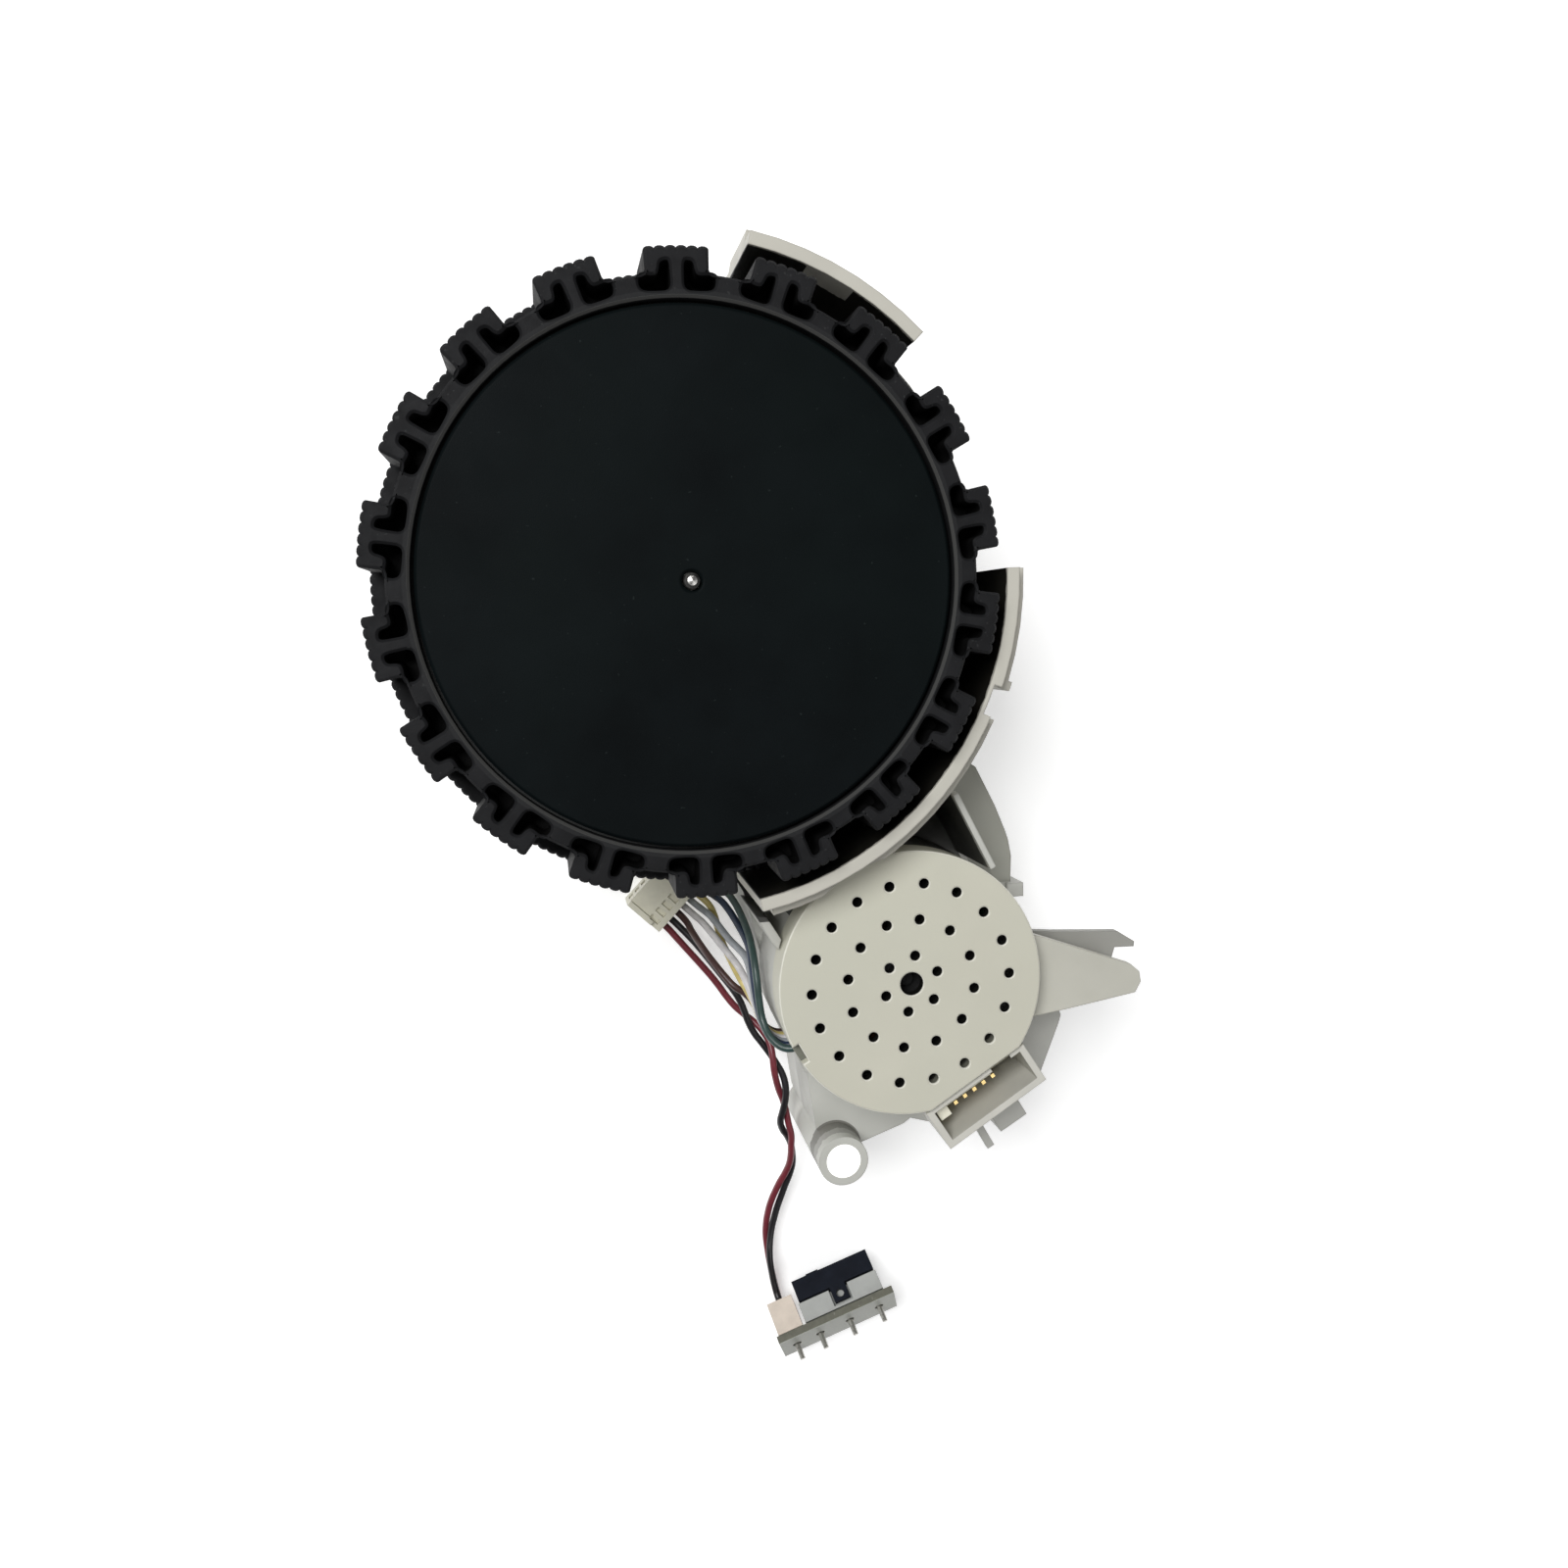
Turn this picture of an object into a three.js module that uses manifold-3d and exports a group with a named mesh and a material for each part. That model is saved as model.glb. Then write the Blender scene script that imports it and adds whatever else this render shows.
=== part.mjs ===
// Drive wheel module of a robot vacuum cleaner, lying on its back cover.
// Millimetres. +Z runs along the wheel axle and out of the wheel's outer face, z = 0 is the flat back of
// the gearbox, and the Z axis is the wheel axle. +X is the side away from the floor when the module works.
import * as THREE from 'three';
import { mergeVertices } from 'three/addons/utils/BufferGeometryUtils.js';
import Module from 'manifold-3d';

const wasm = await Module();
wasm.setup();

// ---------------------------------------------------------------- driving dimensions
const TAU = Math.PI * 2;
const DEG = Math.PI / 180;

const TYRE_R = 36;
const TREAD_R = 33.1;
const TYRE_INNER_R = 31.0;
const SIDE_R = 30.5;
const TYRE_Z0 = 21.6;
const TYRE_Z1 = 43;
const BLOCK_COUNT = 18;
const BLOCK_PITCH = 360 / BLOCK_COUNT;
const BLOCK_HALF = 5.8;
const ROW_NEAR_Z = 32.8;
const ROW_FAR_Z = 31.6;
const POCKET_DEPTH = 5.5;

const HUB_R = 30.7;
const CAP_R = 30.1;
const AXLE_R = 2;
const AXLE_TIP_R = 0.9;

const SHELL_SPLIT_Z = 9;
const SHELL_TOP_Z = 18.5;
const WALL = 1.6;
const GEAR_ROOF_Z = 16.9;

const ARCH_IN_R = 37.9;
const ARCH_OUT_R = 39.4;
const ARCH_LEDGE_R = 40.8;
const ARCH_TOP_Z = 40;
const ARCH_LEDGE_Z = 37.4;
const ARCH_SILL_Z = 24;
const ARCH_PLATE_Z = 20.3;
const ARCH_LOW = [-80, 0.5];
const ARCH_HIGH = [44, 77.2];

const MOTOR_X = 26.3;
const MOTOR_Y = -50.9;
const CUP_R = 17;
const CUP_IN_R = 15.6;
const CUP_TOP_Z = 29;
const COVER_TOP_Z = 34;
const COVER_FLAT = 15.5;
const SOCKET_DIR = -58.7;

const PIVOT_X = 18.75;
const PIVOT_Y = -77.4;
const PIVOT_R = 3.4;
const PIVOT_BORE_R = 2.25;
const PIVOT_TOP_Z = 24;

const GEAR2 = [14.54, -19.08];
const GEAR1 = [22.9, -35.24];

const WIRE_R = 0.5;

// ---------------------------------------------------------------- solid helpers
function toManifold(geometry) {
  let g = geometry.clone();
  g.deleteAttribute('normal');
  g.deleteAttribute('uv');
  g = mergeVertices(g, 1e-5);
  const mesh = new wasm.Mesh({
    numProp: 3,
    vertProperties: new Float32Array(g.attributes.position.array),
    triVerts: new Uint32Array(g.index.array),
  });
  return new wasm.Manifold(mesh);
}

function toGeometry(solid) {
  const mesh = solid.getMesh();
  const g = new THREE.BufferGeometry();
  g.setAttribute('position', new THREE.BufferAttribute(new Float32Array(mesh.vertProperties), 3));
  g.setIndex(new THREE.BufferAttribute(new Uint32Array(mesh.triVerts), 1));
  g.computeVertexNormals();
  return g;
}

function join(...parts) {
  return parts.reduce((a, b) => a.add(b));
}

function cut(base, ...tools) {
  return tools.reduce((a, b) => a.subtract(b), base);
}

function prism(points, z0, z1, holes = []) {
  const shape = new THREE.Shape(points.map((p) => new THREE.Vector2(p[0], p[1])));
  for (const hole of holes) {
    shape.holes.push(new THREE.Path(hole.map((p) => new THREE.Vector2(p[0], p[1]))));
  }
  const g = new THREE.ExtrudeGeometry(shape, { depth: z1 - z0, bevelEnabled: false });
  g.translate(0, 0, z0);
  return toManifold(g);
}

function ringPoints(x, y, r, count, phase = 0) {
  const points = [];
  for (let i = 0; i < count; i += 1) {
    const a = phase + (TAU * i) / count;
    points.push([x + r * Math.cos(a), y + r * Math.sin(a)]);
  }
  return points;
}

function post(x, y, r, z0, z1, count = 24) {
  return prism(ringPoints(x, y, r, count), z0, z1);
}

function tubePost(x, y, r, bore, z0, z1, count = 32) {
  return prism(ringPoints(x, y, r, count), z0, z1, [ringPoints(x, y, bore, count)]);
}

function sector(r0, r1, a0, a1, z0, z1, step = 5) {
  const n = Math.max(2, Math.ceil((a1 - a0) / step));
  const points = [];
  for (let i = 0; i <= n; i += 1) {
    const a = (a0 + ((a1 - a0) * i) / n) * DEG;
    points.push([r1 * Math.cos(a), r1 * Math.sin(a)]);
  }
  for (let i = n; i >= 0; i -= 1) {
    const a = (a0 + ((a1 - a0) * i) / n) * DEG;
    points.push([r0 * Math.cos(a), r0 * Math.sin(a)]);
  }
  return prism(points, z0, z1);
}

function convexHull(points) {
  const p = [...points].sort((a, b) => a[0] - b[0] || a[1] - b[1]);
  const cross = (o, a, b) => (a[0] - o[0]) * (b[1] - o[1]) - (a[1] - o[1]) * (b[0] - o[0]);
  const half = (list) => {
    const out = [];
    for (const q of list) {
      while (out.length > 1 && cross(out[out.length - 2], out[out.length - 1], q) <= 1e-9) {
        out.pop();
      }
      out.push(q);
    }
    out.pop();
    return out;
  };
  return [...half(p), ...half(p.reverse())];
}

// Prism of the convex outline around circles given as [x, y, radius].
function hull(circles, z0, z1, shrink = 0) {
  const points = [];
  for (const [x, y, r] of circles) {
    const radius = Math.max(r - shrink, 0.05);
    points.push(...ringPoints(x, y, radius, radius > 8 ? 32 : 10));
  }
  return prism(convexHull(points), z0, z1);
}

// Box whose length runs along a direction given in degrees about Z.
function turnedBox(cx, cy, length, width, angle, z0, z1) {
  const c = Math.cos(angle * DEG);
  const s = Math.sin(angle * DEG);
  const corners = [[-1, -1], [1, -1], [1, 1], [-1, 1]];
  const points = corners.map(([i, j]) => {
    const u = (i * length) / 2;
    const v = (j * width) / 2;
    return [cx + u * c - v * s, cy + u * s + v * c];
  });
  return prism(points, z0, z1);
}

// Toothed wheel outline: straight-sided teeth, one tooth centred on the phase angle.
function gearPoints(x, y, teeth, module, phase) {
  const r = (teeth * module) / 2;
  const outer = r + module * 0.8;
  const root = r - module * 1.1;
  const pitch = TAU / teeth;
  const points = [];
  for (let i = 0; i < teeth; i += 1) {
    const a = phase + i * pitch;
    const widths = [[root, -0.27], [outer, -0.1], [outer, 0.1], [root, 0.27]];
    for (const [radius, w] of widths) {
      points.push([x + radius * Math.cos(a + w * pitch), y + radius * Math.sin(a + w * pitch)]);
    }
  }
  return points;
}

// ---------------------------------------------------------------- assembly
const group = new THREE.Group();
group.name = 'drive_wheel_module';

const FINISH = {
  tyre: [0x26282a, 0.85, 0],
  blackPlastic: [0x111817, 0.6, 0],
  greyPlastic: [0xc9c8bd, 0.5, 0],
  coverPlastic: [0xcdccc0, 0.45, 0],
  steel: [0xa8a8a4, 0.3, 1],
  brass: [0xb79a4c, 0.35, 1],
  gearWhite: [0xe4e1d6, 0.45, 0],
  gearBlack: [0x2a2b2e, 0.5, 0],
  copper: [0xa5683a, 0.35, 1],
  board: [0x2d5b3a, 0.5, 0],
  boardGrey: [0x7f8079, 0.6, 0],
  ivory: [0xe8e4cf, 0.45, 0],
  red: [0xb0383c, 0.45, 0],
  black: [0x1b1a1c, 0.45, 0],
  brown: [0x5d4038, 0.45, 0],
  white: [0xe9e7e6, 0.45, 0],
  grey: [0xb4b6b8, 0.45, 0],
  blue: [0x273b57, 0.45, 0],
  green: [0x3d5b52, 0.45, 0],
  yellow: [0xd8c987, 0.45, 0],
};

function addGeometry(name, geometry, finish) {
  const [color, roughness, metalness] = FINISH[finish];
  const material = new THREE.MeshStandardMaterial({ color, roughness, metalness });
  material.name = finish;
  const mesh = new THREE.Mesh(geometry, material);
  mesh.name = name;
  group.add(mesh);
}

function add(name, solid, finish) {
  addGeometry(name, toGeometry(solid), finish);
}

// ---------------------------------------------------------------- wheel
function polar(radius, degrees) {
  return [radius * Math.cos(degrees * DEG), radius * Math.sin(degrees * DEG)];
}

function treadOutline(offset) {
  const points = [];
  for (let i = 0; i < BLOCK_COUNT; i += 1) {
    const c = offset + i * BLOCK_PITCH;
    points.push(polar(TREAD_R, c - BLOCK_HALF));
    points.push(polar(TYRE_R, c - BLOCK_HALF * 0.94));
    points.push(polar(TYRE_R, c));
    points.push(polar(TYRE_R, c + BLOCK_HALF * 0.94));
    points.push(polar(TREAD_R, c + BLOCK_HALF));
    points.push(polar(TREAD_R, c + BLOCK_PITCH / 2));
  }
  return points;
}

function pocket(centre, side) {
  const corners = [[31.2, 1.3], [34.3, 1.3], [34.3, 3.6], [32.6, 3.9], [32.5, 6.8], [31.2, 6.8]];
  const points = corners.map(([r, a]) => polar(r, centre + side * a));
  return prism(side > 0 ? points : points.reverse(), TYRE_Z1 - POCKET_DEPTH, TYRE_Z1 + 1);
}

function buildTyre() {
  const inner = ringPoints(0, 0, TYRE_INNER_R, 54);
  const lip = ringPoints(0, 0, SIDE_R, 54);
  let tyre = prism(treadOutline(90), ROW_NEAR_Z, TYRE_Z1 - 2, [inner]);
  tyre = tyre.add(prism(treadOutline(90), TYRE_Z1 - 2, TYRE_Z1, [lip]));
  tyre = tyre.add(prism(treadOutline(100), TYRE_Z0, ROW_FAR_Z, [inner]));
  tyre = tyre.add(tubePost(0, 0, TREAD_R, TYRE_INNER_R, ROW_FAR_Z, ROW_NEAR_Z, 54));
  for (let i = 0; i < BLOCK_COUNT; i += 1) {
    const c = 90 + i * BLOCK_PITCH;
    tyre = tyre.subtract(pocket(c, 1));
    tyre = tyre.subtract(pocket(c, -1));
  }
  return tyre;
}

function buildHub() {
  let hub = tubePost(0, 0, HUB_R, HUB_R - 2, 22.5, 38.2, 54);
  hub = hub.add(post(0, 0, HUB_R, 38.2, 40.7, 54));
  hub = hub.add(post(0, 0, 6, 24.5, 38.3, 24));
  for (let i = 0; i < 6; i += 1) {
    const a = 30 + i * 60;
    const [x, y] = polar(17.2, a);
    hub = hub.add(turnedBox(x, y, 24, 1.8, a, 30, 38.3));
  }
  return hub.subtract(post(0, 0, AXLE_R + 0.3, 20, 45, 24));
}

function buildHubCap() {
  const disc = post(0, 0, CAP_R, 41, 42.5, 60);
  const bore = post(0, 0, AXLE_TIP_R + 0.3, 40, 44, 16);
  return disc.subtract(bore);
}

function buildAxle() {
  const profile = [
    [0, 0.9], [AXLE_R, 0.9], [AXLE_R, 40.7], [AXLE_TIP_R, 40.7], [AXLE_TIP_R, 42.9], [0.55, 43.3], [0, 43.4],
  ];
  const g = new THREE.LatheGeometry(profile.map((p) => new THREE.Vector2(p[0], p[1])), 16);
  g.rotateX(Math.PI / 2);
  return toManifold(g);
}

add('tyre', buildTyre(), 'tyre');
add('wheel_hub', buildHub(), 'blackPlastic');
add('hub_cap', buildHubCap(), 'blackPlastic');
add('wheel_axle', buildAxle(), 'steel');

// ---------------------------------------------------------------- gear train
function bearing(from, to) {
  return Math.atan2(to[1] - from[1], to[0] - from[0]);
}

const MOTOR = [MOTOR_X, MOTOR_Y];
const WHEEL = [0, 0];
const OUT_TO_2 = bearing(WHEEL, GEAR2);
const TWO_TO_1 = bearing(GEAR2, GEAR1);
const ONE_TO_M = bearing(GEAR1, MOTOR);

function buildGearOutput() {
  const teeth = prism(gearPoints(0, 0, 36, 1, OUT_TO_2), 2.6, 7.4);
  const hub = post(0, 0, 4.6, 7.3, 11.5, 24);
  return teeth.add(hub).subtract(post(0, 0, AXLE_R + 0.3, 0, 20, 24));
}

function buildGearSecond() {
  const [x, y] = GEAR2;
  const small = prism(gearPoints(x, y, 12, 1, OUT_TO_2 + Math.PI + Math.PI / 12), 2.4, 8);
  const large = prism(gearPoints(x, y, 40, 0.7, TWO_TO_1), 7.9, 10.9);
  return small.add(large).subtract(post(x, y, 1.3, 0, 20, 16));
}

function buildGearFirst() {
  const [x, y] = GEAR1;
  const small = prism(gearPoints(x, y, 12, 0.7, TWO_TO_1 + Math.PI + Math.PI / 12), 7.7, 11.8);
  const large = prism(gearPoints(x, y, 54, 0.5, ONE_TO_M), 11.7, 14.5);
  return small.add(large).subtract(post(x, y, 1.3, 0, 20, 16));
}

function buildPinion() {
  const phase = ONE_TO_M + Math.PI + Math.PI / 10;
  const teeth = prism(gearPoints(MOTOR_X, MOTOR_Y, 10, 0.5, phase), 11.3, 15.3);
  return teeth.subtract(post(MOTOR_X, MOTOR_Y, 1.25, 10, 20, 16));
}

add('gear_output', buildGearOutput(), 'gearWhite');
add('gear_second', buildGearSecond(), 'gearWhite');
add('gear_first', buildGearFirst(), 'gearBlack');
add('gear_pin_first', post(GEAR1[0], GEAR1[1], 1, 1.9, 16.6, 12), 'steel');
add('gear_pin_second', post(GEAR2[0], GEAR2[1], 1, 1.9, 16.6, 12), 'steel');

// ---------------------------------------------------------------- gearbox shells
const WHEEL_END = [0, 0, 24.5];
const GEAR2_END = [GEAR2[0], GEAR2[1], 16.6];
const GEAR1_END = [GEAR1[0], GEAR1[1], 16.1];
const HEAD = [
  GEAR1_END, [13.2, -50, 2.2], [13.4, -57, 2.2], [38.6, -27, 2.2], [41.2, -32.4, 2.2],
  [42.6, -36, 2.2], [43, -38.4, 2.2], [42.6, -45.5, 2.2], [42, -58, 2.2],
];
const SHOULDER = [
  [13.4, -57, 2.2], [16.6, -65, 2.2], [20, -50, 2.2], [41.2, -48.6, 2.2], [49.9, -61.8, 2.2],
  [47.2, -68.4, 2.2], [36.5, -74.4, 2.2], [30.5, -72.5, 2.2],
];
const ARM = [[PIVOT_X, PIVOT_Y, PIVOT_R], [17.2, -65, 2.2], [27, -70, 5.5]];

function shellBody(z0, z1, shrink) {
  return join(
    hull([WHEEL_END, GEAR2_END], z0, z1, shrink),
    hull([GEAR2_END, GEAR1_END], z0, z1, shrink),
    hull(HEAD, z0, z1, shrink),
    hull(SHOULDER, z0, z1, shrink),
    hull([[PIVOT_X + 1, PIVOT_Y + 3, 3.6], ARM[1], ARM[2]], z0, z1, shrink),
  );
}

const ARCH_SCREWS = [[14, 12], [19.5, -9.5], [6.5, 17]];
const SCREW_SPOTS = [[-18.8, 10.85], [-18.8, -10.85], [38.5, -31], [44.5, -64.5], [19.6, -68.6]];

function radial(distance, degrees) {
  return [MOTOR_X + distance * Math.cos(degrees * DEG), MOTOR_Y + distance * Math.sin(degrees * DEG)];
}

const LEAD_DIR = 212;

function buildFrontShell() {
  let shell = shellBody(SHELL_SPLIT_Z, SHELL_TOP_Z, 0);
  shell = shell.subtract(shellBody(SHELL_SPLIT_Z - 1, GEAR_ROOF_Z, WALL));
  for (const [x, y] of SCREW_SPOTS) {
    shell = shell.add(post(x, y, 2.2, SHELL_SPLIT_Z, GEAR_ROOF_Z + 0.5, 10));
  }
  // motor cup with its side walls
  let cup = tubePost(MOTOR_X, MOTOR_Y, CUP_R, CUP_IN_R, SHELL_TOP_Z - 0.5, CUP_TOP_Z, 48);
  const [lx, ly] = radial(16.3, LEAD_DIR);
  cup = cup.subtract(turnedBox(lx, ly, 4, 2.2, LEAD_DIR, 20, 28.7));
  const [fx, fy] = radial(COVER_FLAT + 5, SOCKET_DIR);
  cup = cup.subtract(turnedBox(fx, fy, 10, 40, SOCKET_DIR, SHELL_TOP_Z, 40));
  shell = shell.add(cup);
  shell = shell.add(turnedBox(35.3, -32.15, 10.9, 0.75, -64, SHELL_TOP_Z - 0.5, 33));
  shell = shell.add(prism([[7.2, -41.2], [8.5, -41.4], [10.6, -45], [10.2, -46.2], [9, -44.6]], 17.6, 31.5));
  shell = shell.add(turnedBox(45.3, -43, 1.9, 2.3, 90, 15, SHELL_TOP_Z + 1.2));
  // pivot boss
  shell = shell.add(post(PIVOT_X, PIVOT_Y, PIVOT_R, SHELL_SPLIT_Z, PIVOT_TOP_Z, 32));
  // latch tab under the socket
  const tab = turnedBox(42.9, -74.2, 4.4, 3.4, 30, 15.5, 21.5);
  shell = shell.add(tab);
  // thin peg beside the latch tab
  shell = shell.add(turnedBox(40.2, -77.6, 7.2, 1.1, -62, 15.8, 16.9));
  shell = shell.subtract(post(PIVOT_X, PIVOT_Y, PIVOT_BORE_R, 0, 40, 24));
  shell = shell.subtract(post(MOTOR_X, MOTOR_Y, CUP_R + 0.3, CUP_TOP_Z, 50, 48));
  shell = shell.subtract(post(MOTOR_X, MOTOR_Y, 4.7, 0, 40, 24));
  shell = shell.subtract(post(0, 0, 4.3, 0, 40, 24));
  for (const [x, y] of SCREW_SPOTS) {
    shell = shell.subtract(post(x, y, 1.25, 0, 16, 8));
  }
  for (const [x, y] of ARCH_SCREWS) {
    shell = shell.subtract(post(x, y, 1.25, 12, 40, 8));
  }
  return shell;
}

function buildRearCover() {
  let cover = shellBody(0, SHELL_SPLIT_Z, 0);
  cover = cover.subtract(shellBody(WALL, SHELL_SPLIT_Z + 1, WALL));
  for (const [x, y] of SCREW_SPOTS) {
    cover = cover.add(post(x, y, 2.6, 1, SHELL_SPLIT_Z, 12));
  }
  cover = cover.add(post(PIVOT_X, PIVOT_Y, PIVOT_R, 0, SHELL_SPLIT_Z, 32));
  cover = cover.subtract(post(PIVOT_X, PIVOT_Y, PIVOT_BORE_R, -1, 40, 24));
  for (const [x, y] of SCREW_SPOTS) {
    cover = cover.subtract(post(x, y, 1.35, -1, 20, 8));
    cover = cover.subtract(post(x, y, 2.1, -1, 2.4, 12));
  }
  return cover.subtract(post(0, 0, 4.3, 0.6, 20, 24));
}

function buildScrew(x, y, z, head, shank, length, up) {
  const s = up ? 1 : -1;
  const a = z;
  const b = z + s * 1;
  const c = z - s * length;
  const top = post(x, y, head, Math.min(a, b), Math.max(a, b), 12);
  const stem = post(x, y, shank, Math.min(a + s * 0.2, c), Math.max(a + s * 0.2, c), 8);
  const slot = turnedBox(x, y, head * 1.3, 0.5, 30, b - 0.45, b + 0.45);
  const slot2 = turnedBox(x, y, head * 1.3, 0.5, 120, b - 0.45, b + 0.45);
  return cut(top.add(stem), slot, slot2);
}

add('gearbox_front_shell', buildFrontShell(), 'greyPlastic');
add('gearbox_rear_cover', buildRearCover(), 'greyPlastic');
SCREW_SPOTS.forEach(([x, y], i) => {
  add(`cover_screw_${i + 1}`, buildScrew(x, y, 2.1, 1.75, 0.9, 12.5, false), 'steel');
});
add('axle_bush_front', tubePost(0, 0, 4, AXLE_R + 0.3, 14.5, 20, 16), 'brass');
add('axle_bush_rear', tubePost(0, 0, 4, AXLE_R + 0.3, 0.6, 2.3, 16), 'brass');

// ---------------------------------------------------------------- wheel arch
function buildArch() {
  const [l0, l1] = ARCH_LOW;
  const [h0, h1] = ARCH_HIGH;
  let arch = sector(6, ARCH_OUT_R, l0, h1, SHELL_TOP_Z, ARCH_PLATE_Z);
  arch = arch.add(sector(ARCH_IN_R, ARCH_OUT_R, l0, h1, SHELL_TOP_Z + 0.5, ARCH_SILL_Z));
  arch = arch.add(sector(ARCH_IN_R, ARCH_OUT_R, l0, l1, SHELL_TOP_Z + 0.5, ARCH_TOP_Z));
  arch = arch.add(sector(ARCH_IN_R, ARCH_OUT_R, h0, h1, SHELL_TOP_Z + 0.5, ARCH_TOP_Z));
  arch = arch.add(sector(ARCH_OUT_R - 0.3, ARCH_LEDGE_R, -19, l1, 22, ARCH_LEDGE_Z));
  arch = arch.add(sector(ARCH_OUT_R - 0.3, ARCH_LEDGE_R + 0.5, -20.5, -18.9, 22, ARCH_LEDGE_Z));
  arch = arch.add(sector(ARCH_OUT_R - 0.3, ARCH_LEDGE_R, -78, -26, 22, ARCH_LEDGE_Z));
  arch = arch.add(sector(ARCH_OUT_R - 0.3, ARCH_LEDGE_R, 66, h1, 22, ARCH_LEDGE_Z - 2));
  // thin place in the wall between the two lengths of ledge
  arch = arch.subtract(sector(ARCH_IN_R + 0.5, ARCH_LEDGE_R + 2, -26, -20.5, 26, ARCH_TOP_Z + 1));
  for (const [x, y] of ARCH_SCREWS) {
    arch = arch.subtract(post(x, y, 1.45, 10, 30, 8));
  }
  // the motor cup and its side walls pass the arch with a clearance
  arch = arch.subtract(post(MOTOR_X, MOTOR_Y, CUP_R + 0.35, 10, 50, 48));
  arch = arch.subtract(turnedBox(35.3, -32.15, 11.7, 1.5, -64, 10, 34));
  return arch;
}

add('wheel_arch', buildArch(), 'greyPlastic');
ARCH_SCREWS.forEach(([x, y], i) => {
  add(`arch_screw_${i + 1}`, buildScrew(x, y, ARCH_PLATE_Z, 2.2, 0.9, 5, true), 'steel');
});

// ---------------------------------------------------------------- motor and its perforated cover
function buildMotorBase() {
  const flange = post(MOTOR_X, MOTOR_Y, 7.5, 20.4, 21, 32);
  const tube = post(MOTOR_X, MOTOR_Y, 4, 17, 27.8, 24);
  return flange.add(tube).subtract(post(MOTOR_X, MOTOR_Y, 1.4, 0, 40, 16));
}

function buildStator() {
  const core = post(MOTOR_X, MOTOR_Y, 6.6, 21.4, 27.4, 24);
  let stator = core;
  for (let i = 0; i < 9; i += 1) {
    const a = i * 40;
    const [x, y] = radial(8.2, a);
    stator = stator.add(turnedBox(x, y, 4.4, 2.6, a, 21.6, 27.2));
  }
  return stator.subtract(post(MOTOR_X, MOTOR_Y, 4.3, 0, 40, 24));
}

function buildRotor() {
  const wall = tubePost(MOTOR_X, MOTOR_Y, 12.6, 11.2, 21.6, 28.9, 32);
  let rotor = wall.add(post(MOTOR_X, MOTOR_Y, 12.6, 28.8, 29.9, 32));
  for (let i = 0; i < 6; i += 1) {
    const [x, y] = radial(7.4, i * 60);
    rotor = rotor.subtract(post(x, y, 1.9, 28, 31, 10));
  }
  return rotor.subtract(post(MOTOR_X, MOTOR_Y, 1.3, 0, 40, 16));
}

add('motor_shaft', post(MOTOR_X, MOTOR_Y, 1, 10.6, 30.8, 16), 'steel');
add('motor_pinion', buildPinion(), 'brass');
add('motor_base', buildMotorBase(), 'steel');
add('motor_stator', buildStator(), 'copper');
add('motor_rotor', buildRotor(), 'steel');

function buildMotorBoard() {
  const disc = tubePost(MOTOR_X, MOTOR_Y, 15.2, 4.9, 18.8, 20, 32);
  const [fx, fy] = radial(COVER_FLAT + 4.7, SOCKET_DIR);
  return disc.subtract(turnedBox(fx, fy, 10, 40, SOCKET_DIR, 10, 40));
}

add('motor_board', buildMotorBoard(), 'board');

const HOLE_RINGS = [[6, 3.62, 21.3], [12, 8.27, -8.8], [18, 12.87, 1.2]];

function buildMotorCover() {
  const [fx, fy] = radial(COVER_FLAT + 5, SOCKET_DIR);
  const flat = turnedBox(fx, fy, 10, 40, SOCKET_DIR, 20, 40);
  let cover = post(MOTOR_X, MOTOR_Y, CUP_R, CUP_TOP_Z, COVER_TOP_Z - 0.5, 60);
  cover = cover.add(post(MOTOR_X, MOTOR_Y, CUP_R - 0.5, COVER_TOP_Z - 0.6, COVER_TOP_Z, 60));
  cover = cover.subtract(flat);
  let room = post(MOTOR_X, MOTOR_Y, CUP_IN_R, CUP_TOP_Z - 1, COVER_TOP_Z - 1.7, 40);
  const [gx, gy] = radial(COVER_FLAT + 3.7, SOCKET_DIR);
  room = room.subtract(turnedBox(gx, gy, 10, 40, SOCKET_DIR, 20, 40));
  cover = cover.subtract(room);
  cover = cover.subtract(post(MOTOR_X, MOTOR_Y, 1.5, 20, 40, 16));
  for (const [count, r, phase] of HOLE_RINGS) {
    for (let i = 0; i < count; i += 1) {
      const [x, y] = radial(r, phase + (i * 360) / count);
      cover = cover.subtract(post(x, y, 0.68, 20, 40, 8));
    }
  }
  const [nx, ny] = radial(16.75, 208);
  cover = cover.subtract(turnedBox(nx, ny, 1.2, 2.6, 208, 20, 40));
  return cover;
}

add('motor_cover', buildMotorCover(), 'coverPlastic');

// six-way block where the motor leads end, standing on the board inside the cup
const [blockX, blockY] = radial(14, LEAD_DIR);
add('lead_block', turnedBox(blockX, blockY, 1.2, 2, LEAD_DIR, 20.2, 28.6), 'ivory');

// ---------------------------------------------------------------- socket beside the cover
function socketPoint(out, along) {
  const [x, y] = radial(out, SOCKET_DIR);
  const t = (SOCKET_DIR + 90) * DEG;
  return [x + along * Math.cos(t), y + along * Math.sin(t)];
}

function socketBox(out0, out1, along0, along1, z0, z1) {
  const [x, y] = socketPoint((out0 + out1) / 2, (along0 + along1) / 2);
  return turnedBox(x, y, out1 - out0, along1 - along0, SOCKET_DIR, z0, z1);
}

function buildSocketFrame() {
  let frame = socketBox(15.8, 21.7, -7.7, 7.7, SHELL_TOP_Z, 33.2);
  frame = frame.subtract(socketBox(16.4, 20.8, -6.8, 6.8, 21, 40));
  frame = frame.subtract(socketBox(15, 16.6, 2.4, 5.4, 26, 40));
  return frame;
}

add('socket_frame', buildSocketFrame(), 'greyPlastic');

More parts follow.
